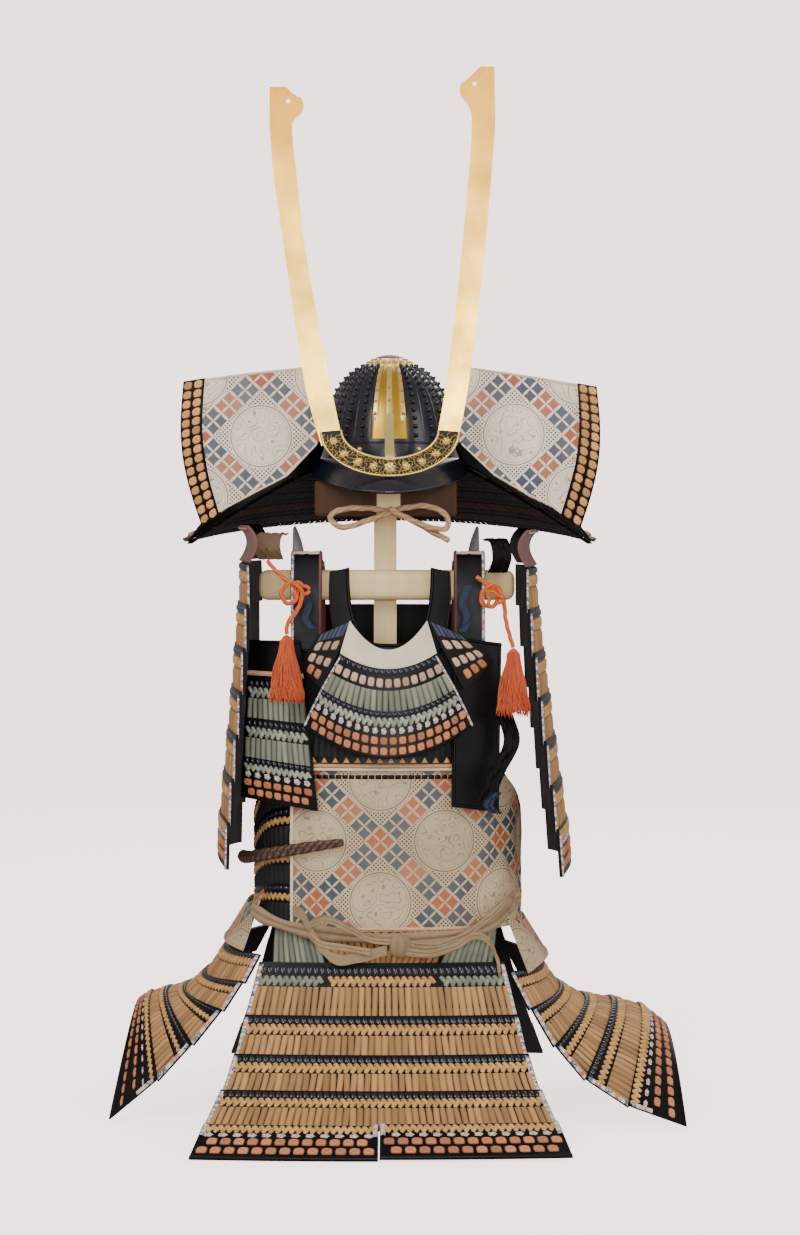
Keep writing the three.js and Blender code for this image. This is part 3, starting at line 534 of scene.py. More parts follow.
def side_skirt(table, side):
    """A panel that arches from its near edges to its crest, both read from a table, with one
    minus a power of the distance from its middle."""
    def face(u, w):
        back = (2 * u - 1) * side
        arch = 1 - np.abs(back) ** 2.2
        x = lerp(along(table[:, 0], w), along(table[:, 2], w), arch)
        z = lerp(along(table[:, 1], w), along(table[:, 3], w), arch)
        return xyz(x, 12 + back * along(table[:, 4], w), z)
    return face


def waist_face(u, w):
    """Straight lines from the foot of the cuirass to the head of the front skirt."""
    above = torso(lerp(-50, 50, u), TORSO.bottom - 1, -1)
    across = lerp(0.05, 0.95, u)
    below = push(front_skirt, across, 0 * across + 0.05, -4.5)
    return above + (below - above) * np.asarray(w)[..., None]


def waist_flap(side, top, up, down):
    """A leather beside the waist: it stands out evenly more towards its foot, and its near
    corners are drawn up and down as a fourth power."""
    def face(u, w):
        back = (2 * u - 1) * side
        near = np.maximum(0, -back) ** 4
        degrees = side * (lerp(62, 122, (back + 1) / 2) - 6 * near)
        z = lerp(top + up * near, top - 52 - down * near, w)
        return torso(degrees, z, lerp(5, 37, w))
    return face


def guard(side, top, hem, top_x, hem_x):
    """A guard beside the arm: it widens evenly, bulges as a parabola, swings out as a power
    of w, and droops at both lower corners."""
    def face(u, w):
        across = 2 * u - 1
        half = lerp(SLEEVE.top, SLEEVE.hem, w)
        bulge = SLEEVE.bulge * (1 - across ** 2)
        x = side * (lerp(top_x, hem_x, np.maximum(w, 0) ** 1.2) + bulge)
        return xyz(x, side * across * half, lerp(top, hem, w) - SLEEVE.droop * across ** 2 * w)
    return face


def crown(side, top, top_x):
    """A plate with the guard's bulge, curled on its way up: a sine tucks it in and a cube
    flares it out."""
    def face(u, w):
        across = 2 * u - 1
        up = 1 - w
        curl = CROWN.flare * up ** 3 - CROWN.tuck * np.sin(up * CROWN.wave)
        x = side * (top_x + CROWN.out + SLEEVE.bulge * (1 - across ** 2) + curl)
        return xyz(x, side * across * (SLEEVE.top + CROWN.wider),
                   top + CROWN.lift + CROWN.height * up)
    return face


def band_face(points, width):
    """A flat band: its width stands upright on a smooth curve."""
    path = curve(points)
    return lambda u, w: path(u) + xyz(0, 0, width * (0.5 - w))


def level_band(points, width):
    """A flat band that runs down a smooth curve, its width level."""
    path = curve(points)
    return lambda u, w: path(w) + xyz(width * (np.asarray(u) - 0.5), 0, 0)


def field_half(w):
    """Half width of the gilt field, which grows as a power of the way down the bowl."""
    part = np.clip((w - FIELD.top) / (FIELD.foot - FIELD.top), 0, 1)
    return lerp(FIELD.narrow, FIELD.wide, part ** FIELD.power)


# ---- Meshes ----
def ring_of(index):
    """A grid of numbers whose first column comes again after its last."""
    return np.concatenate([index, index[:, :1]], axis=1)


def quads_of(index):
    """The four corners of each cell of a grid of numbers: down first, then right."""
    quad = np.stack([index[:-1, :-1], index[1:, :-1], index[1:, 1:], index[:-1, 1:]], -1)
    return quad.reshape(-1, 4)


class Piece:
    """Gathers grids of points into one mesh. Each grid has a finish, a tone from 0 to 1
    and a UV place."""

    def __init__(self, name):
        self.name = name
        self.chance = np.random.default_rng(sum(map(ord, name)))
        self.points, self.quads, self.marks, self.tones, self.uvs = [], [], [], [], []
        self.finishes = []
        self.total = 0

    def number(self, finish):
        """A finish's place in the list, where it is added the first time."""
        if finish not in self.finishes:
            self.finishes.append(finish)
        return self.finishes.index(finish)

    def put(self, points, quads, finish, tones, uvs):
        """Keeps points in metres, with their quads, finish, tones and UV places."""
        self.points.append(points.reshape(-1, 3) * MM)
        self.quads.append(quads + self.total)
        self.marks.append(np.full(len(quads), self.number(finish)))
        self.tones.append(tones)
        self.uvs.append(uvs.reshape(-1, 2))
        self.total += len(self.points[-1])

    def grids(self, points, finish, uv=None, wrap=False, flip=False):
        """Adds many grids of one size: points has the shape grids, down, across, 3. Each
        quad goes down and then right, so it faces outwards."""
        count, down, across, _ = points.shape
        index = np.arange(down * across).reshape(down, across)
        quad = quads_of(ring_of(index) if wrap else index)
        if flip:
            quad = quad[:, ::-1]
        quads = quad[None] + (np.arange(count) * down * across)[:, None, None]
        tones = self.chance.random(count)
        if uv is None:
            a, b = np.meshgrid(np.linspace(0, 1, across), np.linspace(0, 1, down))
            uv = np.broadcast_to(np.stack([a, b], -1), (count, down, across, 2))
        self.put(points, quads.reshape(-1, 4), finish, np.repeat(tones, down * across), uv)

    def shell(self, face, across, down, wall, finish, span=(0, 1), drop=(0, 1), uv=None,
              lining=None, waver=0.0):
        """A closed plate: the face, the same face set back by wall along its normal, and
        four strips of quads that join their edges. Waver lifts the face in soft waves."""
        u, w = np.meshgrid(np.linspace(*span, across + 1), np.linspace(*drop, down + 1))
        normal = facing(face, u, w)
        outer = face(u, w)
        if waver:
            wave = np.sin(u * 37 + 3 * w) * np.sin(w * 17 + 5 * u)
            outer = outer + normal * (waver * wave)[..., None]
        inner = outer - normal * wall
        rows, columns = u.shape
        index = np.arange(rows * columns).reshape(rows, columns)
        quad = quads_of(index)
        loop = np.concatenate([index[:, 0], index[-1, 1:], index[-2::-1, -1],
                               index[0, -2::-1]])
        a, b = loop[:-1], loop[1:]
        size = rows * columns
        rim = np.stack([b, a, a + size, b + size], -1)
        if uv is None:
            place = np.stack([u, w], -1)
        else:
            place = uv(outer, u, w) * MM
        self.put(np.concatenate([outer.reshape(-1, 3), inner.reshape(-1, 3)]),
                 np.concatenate([quad, rim, quad[:, ::-1] + size]), finish,
                 np.full(2 * size, 0.5), np.concatenate([place.reshape(-1, 2)] * 2))
        if lining:
            self.marks[-1][len(quad) + len(rim):] = self.number(lining)

    def laid(self, face, u, w, right, down, height, finish, uv=None):
        """Patches on a face: from (u, w), right and down millimetres along it, by its own
        stretch there, and height millimetres out of it."""
        u, w, right, down, height = np.broadcast_arrays(u, w, right, down, height)
        stretch_u, stretch_w = (length_of(s) / (2 * SLOPE_STEP) for s in slopes(face, u, w))
        u = u + right / np.maximum(stretch_u, 1)
        w = w + down / np.maximum(stretch_w, 1)
        self.grids(push(face, u, w, height), finish, uv=uv)

    def tube(self, points, radius, finish, sides=12, ref=(0, 1, 0), swell=None):
        """A tube round a line of points: circles square to the line, closed to a point at
        both ends, whose radius may swell with the angle and the run."""
        slope = unit(np.gradient(points, axis=0))
        side = unit(np.cross(slope, np.asarray(ref, float)))
        up = np.cross(slope, side)
        angle = circle(sides)
        run = runs(points)
        size = np.full((len(points), sides), float(radius))
        if swell is not None:
            size = size * swell(angle[None], run[:, None])
        size[0] *= 0.05
        size[-1] *= 0.05
        ring = (side[:, None] * np.cos(angle)[None, :, None]
                + up[:, None] * np.sin(angle)[None, :, None])
        grid = points[:, None] + ring * size[..., None]
        around = np.broadcast_to(angle / (2 * np.pi), size.shape)
        place = np.stack([around, np.broadcast_to(run[:, None] * MM, size.shape)], -1)
        self.grids(grid[None], finish, uv=place, wrap=True, flip=True)

    def make(self, slot, *nodes):
        """Makes the object, fixed to the root, and hides the nodes it replaces. The slot is not
        used.
        """
        mesh = bpy.data.meshes.new(self.name)
        points = np.concatenate(self.points)
        quads = np.concatenate(self.quads)
        mesh.from_pydata(points.tolist(), [], quads.tolist())
        for finish in self.finishes:
            mesh.materials.append(finished(finish))
        mesh.polygons.foreach_set("material_index", np.concatenate(self.marks).astype(np.int32))
        mesh.polygons.foreach_set("use_smooth", np.ones(len(quads), bool))
        tone = mesh.attributes.new("tone", "FLOAT", "POINT")
        tone.data.foreach_set("value", np.concatenate(self.tones).astype(np.float32))
        layer = mesh.uv_layers.new(name="UVMap")
        corners = np.concatenate(self.uvs)[quads.reshape(-1)]
        layer.data.foreach_set("uv", corners.astype(np.float32).reshape(-1))
        mesh.set_sharp_from_angle(angle=math.radians(SHARP))
        piece = bpy.data.objects.new(self.name, mesh)
        bpy.context.collection.objects.link(piece)
        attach(piece, "root")
        if nodes:
            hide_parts(*nodes)
        return piece


def even(face, w, pitch, span=(0.0, 1.0), shift=0.0):
    """u of marks at even lengths along a row of a face, clear of its ends, and the pitch
    that fits it."""
    u = np.linspace(*span, 241)
    points = face(u, np.full_like(u, w))
    run = runs(points)
    room = run[-1] - 2 * END_MARGIN
    count = max(int(round(room / pitch)), 1)
    marks = END_MARGIN + (np.arange(count) + 0.5 + shift) * room / count
    marks = marks[marks < run[-1] - END_MARGIN]
    return np.interp(marks, run, u), room / count


def local(across, down):
    """Two grids of places from -1 to 1, one across and one down."""
    a, b = np.meshgrid(np.linspace(-1, 1, across), np.linspace(-1, 1, down))
    return a[None], b[None]


def height_between(face, top, foot):
    """Straight distance down a face's middle between two of its heights."""
    upper, lower = (face(np.array(0.5), np.array(w)) for w in (top, foot))
    return float(length_of(lower - upper))


def band(face, top, foot, pitch, span=(0, 1), shift=0.0):
    """Marks along the middle of a band: their u and w, the pitch and half of the height."""
    middle = (top + foot) / 2
    u, fit = even(face, middle, pitch, span, shift)
    return u[:, None, None], middle, fit, height_between(face, top, foot) / 2


def dome(a, b, tall, sunk):
    """Half a ball over the middle of a grid, and a flat rim sunk under the face."""
    reach = a ** 2 + b ** 2
    return np.where(reach < 1, tall * np.sqrt(np.clip(1 - reach, 0, 1)), -sunk)


def pad_groove(a, b, wide):
    """A bell-shaped groove along both diagonals of a grid."""
    return np.exp(-((np.abs(a) - np.abs(b)) / wide) ** 2)


def pegs(piece, face, top, foot, finish, pitch=LACE, span=(0, 1), tall=2.2):
    """Rounded heads of the scales: a dome that is square in plan, one for each scale."""
    u, w, fit, half = band(face, top, foot, pitch, span)
    a, b = local(5, 5)
    high = tall * (1 - a ** 2) ** 0.5 * (1 - b ** 4) ** 0.5 - 0.3
    piece.laid(face, u, w, a * fit * 0.43, b * half, high, finish)


def strips(piece, face, top, foot, finish, pitch=LACE, span=(0, 1), tall=2.7):
    """Laces: ribbons that run down the row, arched across like a flattened tube and drawn
    in at both ends, with a little waver in width and slant."""
    u, _, fit, _ = band(face, top, foot, pitch, span)
    a, b = local(5, 6)
    wide, slant, raised = (piece.chance.random(u.shape) for _ in range(3))
    half = fit * (0.5 + 0.1 * (wide - 0.5))
    high = (tall * (1 - a ** 2) ** 0.5 * (1 - 0.7 * b ** 8) - 0.2) * (0.8 + 0.4 * raised)
    piece.laid(face, u, lerp(top, foot, (b + 1) / 2), a * half + 1.6 * (slant - 0.5) * b, 0 * a,
               high, finish)


def chevrons(piece, face, top, foot, finish, pitch=LACE, span=(0, 1), tall=2.6):
    """Cross-laced band: two rows of lozenges, turned one way and the other, that lean
    against each other."""
    a, b = local(5, 5)
    for way, shift in ((-1, 0.0), (1, 0.5)):
        u, w, fit, half = band(face, top, foot, pitch, span, shift)
        long, wide = half * 0.86, fit * 0.36
        angle = way * math.radians(34)
        right = a * wide * math.cos(angle) - b * long * math.sin(angle)
        down = a * wide * math.sin(angle) + b * long * math.cos(angle)
        high = tall * (1 - a ** 2) ** 0.6 * (1 - b ** 2) ** 0.35 - 0.15
        piece.laid(face, u, w, right, down + way * half * 0.32, high, finish)


def squares(piece, face, top, foot, finish, pitch=KNOT, shift=0.0):
    """Crossed knots: four-lobed pads that dip along both diagonals and sink at the rim."""
    u, w, fit, half = band(face, top, foot, pitch, shift=shift)
    a, b = local(9, 9)
    angle = np.arctan2(b, a)
    rim = 0.94 + 0.05 * np.cos(4 * angle) + 0.035 * np.cos(8 * angle)
    round_off = np.clip(1 - ((np.abs(a) ** 6 + np.abs(b) ** 6) ** (1 / 6) / rim) ** 7, -0.6, 1)
    high = 2.4 * round_off * (1 - 0.4 * pad_groove(a, b, 0.15))
    piece.laid(face, u, w, a * fit * 0.42, b * half * 0.94 * 0.9, high, finish)


def flowers(piece, face, top, foot, finish, pitch=KNOT, shift=0.0):
    """Small white rosettes: a disc whose rim waves in five petals, with a hollow middle."""
    u, w, fit, half = band(face, top, foot, pitch, shift=shift)
    a, b = local(9, 7)
    reach = np.sqrt(a ** 2 + b ** 2) / (0.86 + 0.13 * np.cos(5 * np.arctan2(b, a)))
    high = np.clip(2.0 * (1 - reach ** 4) * (0.65 + 0.5 * reach ** 2), -1.2, 3)
    piece.laid(face, u, w, a * fit * 0.36, b * half, high, finish)


def edging(piece, face, u, top, foot, half, finish, tall=1.6, down=24):
    """A rolled binding that runs down one side edge of a panel, half a millimetre in."""
    a, b = local(5, down)
    sign = 1 if u < 0.5 else -1
    place = lerp(top, foot, (b + 1) / 2)
    high = tall * (1 - a ** 2) ** 0.5 - 0.2
    run = (b + 1) / 2 * height_between(face, top, foot) * MM
    uv = np.stack([(a + 1) / 2 * np.ones_like(b), run * np.ones_like(a)], -1)
    piece.laid(face, u + 0 * a, place, a * half + sign * (half + 0.5), 0 * a, high, finish,
               uv=uv)


def both_edges(piece, face, top, foot, half=BINDING.half, finish="binding",
               tall=BINDING.tall, down=24):
    """The same binding down the left and the right edge."""
    for u in (0.0, 1.0):
        edging(piece, face, u, top, foot, half, finish, tall, down)


def rail(piece, face, w, half, finish, tall=1.8, span=(0, 1), across=60, offset=0.0):
    """A rolled rim that runs along a row at height w."""
    a, b = local(across, 5)
    place = lerp(span[0], span[1], (a + 1) / 2)
    high = tall * (1 - b ** 2) ** 0.5 - 0.2
    ends = face(np.linspace(*span, 60), np.full(60, float(w)))
    run = (a + 1) / 2 * length_of(np.diff(ends, axis=0)).sum() * MM
    uv = np.stack([run * np.ones_like(b), (b + 1) / 2 * np.ones_like(a)], -1)
    piece.laid(face, place, w + 0 * a, 0 * a, b * half + offset, high, finish, uv=uv)


def row_looks(piece, face, lacing="lacing", chevron="chevron", pitch=LACE):
    """One laced row: scale heads, the cross-laced band, then the hanging laces."""
    pegs(piece, face, 0.0, 0.16, "peg", pitch)
    chevrons(piece, face, 0.18, 0.42, chevron, pitch)
    strips(piece, face, 0.45, 1.03, lacing, pitch)


def hem_looks(piece, face, shift=0.0):
    """The lowest row: cross-laced band, white rosettes and two rows of crossed knots."""
    chevrons(piece, face, -0.03, 0.19, "chevron", tall=2.2)
    flowers(piece, face, 0.2, 0.34, "binding", shift=shift)
    squares(piece, face, 0.35, 0.6, "knot", shift=0.5 - shift)
    squares(piece, face, 0.62, 0.87, "knot", shift=shift)
    rail(piece, face, 0.99, 2.2, "lacquer", offset=-2.4)


def scale_row(piece, whole, rows, row, step, cells, wall, tuck=0.05, finish="lacquer",
              lining=None, overlap=0.12, low=0.0):
    """Adds the plate of one row, its head tucked up under the row above, and gives back the
    face of the row."""
    face = row_face(whole, rows, row, step, overlap, low)
    piece.shell(face, *cells, wall, finish, drop=(-tuck if row else 0, 1), lining=lining)
    return face


# ---- Finishes ----
class Value:
    """A number socket, on which Python's arithmetic adds Math nodes."""

    def __init__(self, look, socket):
        self.look = look
        self.socket = socket

    def math(self, operation, *others, swap=False, clamp=False):
        """A Math node on this value and the others, in turned order when swap is set."""
        terms = [self, *others]
        if swap:
            terms.reverse()
        return self.look.math(operation, *terms, clamp=clamp)

    def __add__(self, other):
        return self.math("ADD", other)

    __radd__ = __add__

    def __sub__(self, other):
        return self.math("SUBTRACT", other)

    def __rsub__(self, other):
        return self.math("SUBTRACT", other, swap=True)

    def __mul__(self, other):
        return self.math("MULTIPLY", other)

    __rmul__ = __mul__

    def __truediv__(self, other):
        return self.math("DIVIDE", other)

    def __pow__(self, other):
        return self.math("POWER", other)

    def __abs__(self):
        return self.math("ABSOLUTE")

    def least(self, other):
        return self.math("MINIMUM", other)

    def most(self, other):
        return self.math("MAXIMUM", other)

    def round(self):
        return self.math("ROUND")

    def fract(self):
        return self.math("FRACT")

    def cos(self):
        return self.math("COSINE")

    def over(self, edge, soft):
        """0 below edge and 1 above it, with a ramp of width soft."""
        return ((self - edge) / soft + 0.5).math("MINIMUM", 1, clamp=True)

    def under(self, edge, soft):
        """1 below edge and 0 above it."""
        return 1 - self.over(edge, soft)


def rgb(red, green, blue):
    """A linear colour from one seen on a screen, each from 0 to 255."""
    part = np.array([red, green, blue]) / 255
    line = np.where(part <= 0.04045, part / 12.92, ((part + 0.055) / 1.055) ** 2.4)
    return (*line.tolist(), 1.0)


def darker(colour, by):
    """A colour multiplied by a factor."""
    return (*[c * by for c in colour[:3]], 1.0)


class Look:
    """A material under construction."""

    def __init__(self, name):
        self.material = bpy.data.materials.new(name)
        self.material.use_nodes = True
        self.tree = self.material.node_tree
        self.shader = self.tree.nodes["Principled BSDF"]

    def feed(self, socket, value):
        """Links a socket to a value or another socket, or sets it to a plain value."""
        if isinstance(value, Value):
            self.tree.links.new(value.socket, socket)
        elif isinstance(value, bpy.types.NodeSocket):
            self.tree.links.new(value, socket)
        else:
            socket.default_value = value

    def node(self, kind, settings=None, sockets=None):
        """A node of that kind with its settings and its sockets fed."""
        made = self.tree.nodes.new(kind)
        for key, value in (settings or {}).items():
            setattr(made, key, value)
        for key, value in (sockets or {}).items():
            self.feed(made.inputs[key], value)
        return made

    def math(self, operation, *terms, clamp=False):
        made = self.node("ShaderNodeMath", {"operation": operation, "use_clamp": clamp},
                         dict(enumerate(terms)))
        return Value(self, made.outputs[0])

    def place(self):
        """Object coordinates."""
        return self.node("ShaderNodeTexCoord").outputs["Object"]

    def uv(self):
        """Both numbers of the piece's own UV."""
        made = self.node("ShaderNodeUVMap", {"uv_map": "UVMap"})
        parts = self.node("ShaderNodeSeparateXYZ", None, {0: made.outputs[0]})
        return Value(self, parts.outputs[0]), Value(self, parts.outputs[1])

    def xyz(self):
        """The three numbers of the Object coordinates."""
        parts = self.node("ShaderNodeSeparateXYZ", None, {0: self.place()})
        return tuple(Value(self, parts.outputs[k]) for k in range(3))

    def tone(self):
        """The piece's own tone, from 0 to 1, one for each of its grids."""
        made = self.node("ShaderNodeAttribute", {"attribute_name": "tone"})
        return Value(self, made.outputs["Fac"])

    def noise(self, scale, detail, stretch=(1, 1, 1)):
        """Noise in Object coordinates, from about 0.3 to 0.7."""
        place = self.node("ShaderNodeVectorMath", {"operation": "MULTIPLY"},
                          {0: self.place(), 1: stretch}).outputs[0]
        made = self.node("ShaderNodeTexNoise", None,
                         {"Vector": place, "Scale": scale, "Detail": detail})
        return Value(self, made.outputs[0])

    def mix(self, factor, first, second):
        """The colour that lies factor of the way from first to second."""
        made = self.node("ShaderNodeMix", {"data_type": "RGBA"},
                         {0: factor, 6: first, 7: second})
        return made.outputs[2]

    def shine(self, level):
        """How strongly the bare surface mirrors."""
        self.shader.inputs["Specular IOR Level"].default_value = level

    def finish(self, colour, rough, metal=0.0, coat=0.0, relief=None, deep=0.0005, sheen=0.0):
        """Feeds the shader; relief raises the surface by up to deep metres."""
        for socket, value in (("Base Color", colour), ("Roughness", rough), ("Metallic", metal),
                              ("Coat Weight", coat), ("Coat Roughness", 0.15),
                              ("Sheen Weight", sheen)):
            self.feed(self.shader.inputs[socket], value)
        if relief is not None:
            bump = self.node("ShaderNodeBump", None,
                             {"Strength": 0.8, "Distance": deep, "Height": relief})
            self.feed(self.shader.inputs["Normal"], bump.outputs[0])
        return self.material


def woven(look, colour, spread=0.35):
    """Plant-fibre or silk lace: a tone of its own, painted shade along its sides, and fine
    threads.
    """
    side, _ = look.uv()
    # painted shade: the lace darkens towards both of its sides
    edge = (abs(side * 2 - 1) ** 3.2) * 0.9
    threads = look.noise(900, 2, (1, 1, 0.12))
    stain = look.noise(28, 4)
    base = look.mix(look.tone(), darker(colour, 1 - spread * 1.3),
                       darker(colour, 1 + spread * 0.5))
    base = look.mix(stain.over(0.5, 0.35) * 0.35, base, darker(colour, 0.62))
    # painted shade at the sides of the lace
    base = look.mix(edge, base, darker(colour, 0.22))
    return look.finish(base, 0.75, relief=threads, deep=0.0004, sheen=0.15 * max(colour[:3]))


def knotted(look, colour):
    """Crossed silk knots: painted shade where the two laces of the cross dip, and at the rim."""
    across, down = look.uv()
    x, y = abs(across * 2 - 1), abs(down * 2 - 1)
    cross = abs(x - y).under(0.1, 0.16)
    rim = x.most(y).over(0.82, 0.24)
    threads = look.noise(800, 2)
    spread = look.mix(look.tone(), darker(colour, 0.6), darker(colour, 1.15))
    # painted shade in the dip along both diagonals of the cross
    base = look.mix(cross * 0.7, spread, darker(colour, 0.3))
    # painted shade at the sunken rim of the knot
    base = look.mix(rim * 0.8, base, darker(colour, 0.12))
    return look.finish(base, 0.8, relief=threads, deep=0.0005, sheen=0.1)


def lacquered(look, colour, rough=0.34, coat=0.02, shine=0.15):
    """Lacquer over boards: dull patches, fine wear and a thin clear coat."""
    wear = look.noise(22, 5)
    fine = look.noise(240, 3)
    base = look.mix(wear.over(0.56, 0.2) * 0.6, colour, darker(colour, 1.9))
    look.shine(shine)
    return look.finish(base, wear * 0.35 + rough - 0.1, coat=coat, relief=fine, deep=0.0002)


def gilded(look, colour, top=None):
    """Gilt metal: rubbed patches and fine scratches. The horns take a second, darker colour
    towards their tips, which is painted shade."""
    rub = look.noise(14, 6)
    scratch = look.noise(300, 2, (1, 1, 0.1))
    base = look.mix(rub.over(0.52, 0.3) * 0.55, colour, darker(colour, 0.55))
    # painted shade: the horns darken towards their tips
    if top:
        height = look.xyz()[2]
        base = look.mix(height.over(1.2, 0.5), base, top)
    return look.finish(base, rub * 0.3 + 0.2, metal=0.85, relief=scratch, deep=0.0001)


def stencilled(look, ground, centre_x, centre_z):
    """Printed doeskin. A diamond lattice in the piece's own metres: along each line lie
    flowers of four hollow-sided diamonds, terracotta at whole steps and blue between; each
    cell holds a double ring with scroll lines, and small dots fill the rest."""
    props = bpy.context.scene.armour_looks
    u, v = look.uv()
    x = u * 1000 - centre_x
    z = v * 1000 - centre_z
    a = x / (2 * CELL.half_x) + z / (2 * CELL.half_z)
    b = x / (2 * CELL.half_x) - z / (2 * CELL.half_z)
    off_a = a - 2 * (a / 2).round()
    off_b = b - 2 * (b / 2).round()

    def chain(off, run):
        """The flowers on one set of lines, and 1 where a flower is blue."""
        step = (run * 2).round() / 2
        rest = run - step
        dx, dz = abs((off + rest) * CELL.half_x), abs((off - rest) * CELL.half_z)
        side = abs(dx - PETAL.x) ** PETAL.power + dz ** PETAL.power
        end = dx ** PETAL.power + abs(dz - PETAL.z) ** PETAL.power
        petals = side.least(end).under(PETAL.size, 0.4)
        return petals * abs(off).under(PETAL.reach, 0.01), step.fract() * 2

    first, first_blue = chain(off_a, b)
    second, second_blue = chain(off_b, a)
    cell_a = a - 1 - 2 * ((a - 1) / 2).round()
    cell_b = b - 1 - 2 * ((b - 1) / 2).round()
    away = (((cell_a + cell_b) * CELL.half_x) ** 2
            + ((cell_a - cell_b) * CELL.half_z) ** 2) ** 0.5
    clear = abs(off_a).least(abs(off_b)).over(0.25, 0.03)
    dots = ((x * DOT_TURN).cos() * (z * DOT_TURN).cos()).over(0.3, 0.2)
    dots = dots * clear * away.over(RING.clear, 1)
    rings = (abs(away - RING.outer).under(0.7, 0.6)
             + abs(away - RING.inner).under(0.35, 0.5) * 0.7)
    cloud = look.noise(46, 1)
    scroll = abs((cloud * 7).fract() - 0.5).under(0.06, 0.08)
    scroll = scroll * away.under(RING.scroll, 2) * 0.8
    stain = look.noise(9, 5)
    fade = 0.97 - stain.over(0.5, 0.4) * 0.22
    grain = look.noise(420, 3)
    terracotta = (*props.terracotta, 1.0)
    blue = (*props.print_blue, 1.0)
    grey = rgb(44, 40, 36)
    base = look.mix(stain.over(0.48, 0.35) * 0.7, ground, darker(ground, 0.58))
    base = look.mix(dots * 0.95, base, grey)
    base = look.mix((rings + scroll) * 0.75, base, grey)
    for mask, is_blue in ((first, first_blue), (second, second_blue)):
        base = look.mix(mask * (1 - is_blue) * fade, base, terracotta)
        base = look.mix(mask * is_blue * fade, base, blue)
    cockle = look.noise(16, 3, (1, 1, 0.5))
    return look.finish(base, 0.72, relief=grain * 0.1 + cockle, deep=0.003)


def flecked(look, ground, first, second, pitch):
    """White binding sewn with two colours in turn along its run."""
    _, run = look.uv()
    tone = look.tone()
    wave = (run * (2 * math.pi / pitch)).cos()
    speck = look.noise(330, 2)
    base = look.mix(wave.over(0.45, 0.3) * speck.over(0.44, 0.1), ground, first)
    base = look.mix(wave.under(-0.55, 0.3) * speck.over(0.46, 0.1), base, second)
    base = look.mix(tone * 0.3, base, darker(ground, 0.7))
    return look.finish(base, 0.8, relief=speck, deep=0.0004)


def twisted(look, colour):
    """Rope or silk cord: strands wound round, with painted shade in the grooves between them."""
    around, run = look.uv()
    lay = ((around * 3 + run * 60) * (2 * math.pi)).cos()
    fine = look.noise(700, 2)
    # painted shade in the grooves of the lay
    base = look.mix(lay.under(-0.2, 1.0) * 0.6, colour, darker(colour, 0.45))
    base = look.mix(fine.over(0.55, 0.2) * 0.3, base, darker(colour, 0.7))
    return look.finish(base, 0.8, relief=fine + lay * 0.4, deep=0.0006, sheen=0.04)


def plaited(look, colour):
    """A flat plait: two sets of strands that cross on the slant, with dark and red ones."""
    around, run = look.uv()
    one = ((around * 4 + run * 90) * (2 * math.pi)).cos()
    two = ((around * 4 - run * 90) * (2 * math.pi)).cos()
    base = look.mix(one.over(0.1, 0.5) * 0.9, colour, rgb(34, 27, 28))
    base = look.mix(two.over(0.6, 0.4) * 0.6, base, rgb(92, 44, 36))
    return look.finish(base, 0.85, relief=one * two, deep=0.0008)


def wooden(look, colour):
    """Planed wood: long grain that runs upwards, and faint dark patches. The block at the
    head is painted dark brown on both sides of the post, part darker stain and part painted
    shade under the helmet."""
    grain = look.noise(60, 4, (1, 1, 0.06))
    patch = look.noise(9, 2, (1, 1, 0.3))
    base = look.mix(grain.over(0.5, 0.3) * 0.4, colour, darker(colour, 0.74))
    base = look.mix(patch.over(0.55, 0.3) * 0.35, base, darker(colour, 0.75))
    across, _, height = look.xyz()
    # where the block is painted dark: part stain, part painted shade under the helmet
    block_stain_and_shade = height.over(HEAD_BLOCK.foot, 0.004)
    block_stain_and_shade = block_stain_and_shade * abs(across - HEAD_BLOCK.middle).over(HEAD_BLOCK.post, 0.002)
    base = look.mix(block_stain_and_shade * 0.97, base, rgb(56, 24, 9))
    look.shine(0.2)
    return look.finish(base, grain * 0.3 + 0.5, relief=grain, deep=0.0003)


def hide(look, colour):
    """Plain leather or cloth: grain, rubbed folds and stains."""
    grain = look.noise(520, 4)
    stain = look.noise(24, 5)
    base = look.mix(stain.over(0.5, 0.3) * 0.55, colour, darker(colour, 0.6))
    return look.finish(base, 0.7, relief=grain, deep=0.0004, sheen=0.1)


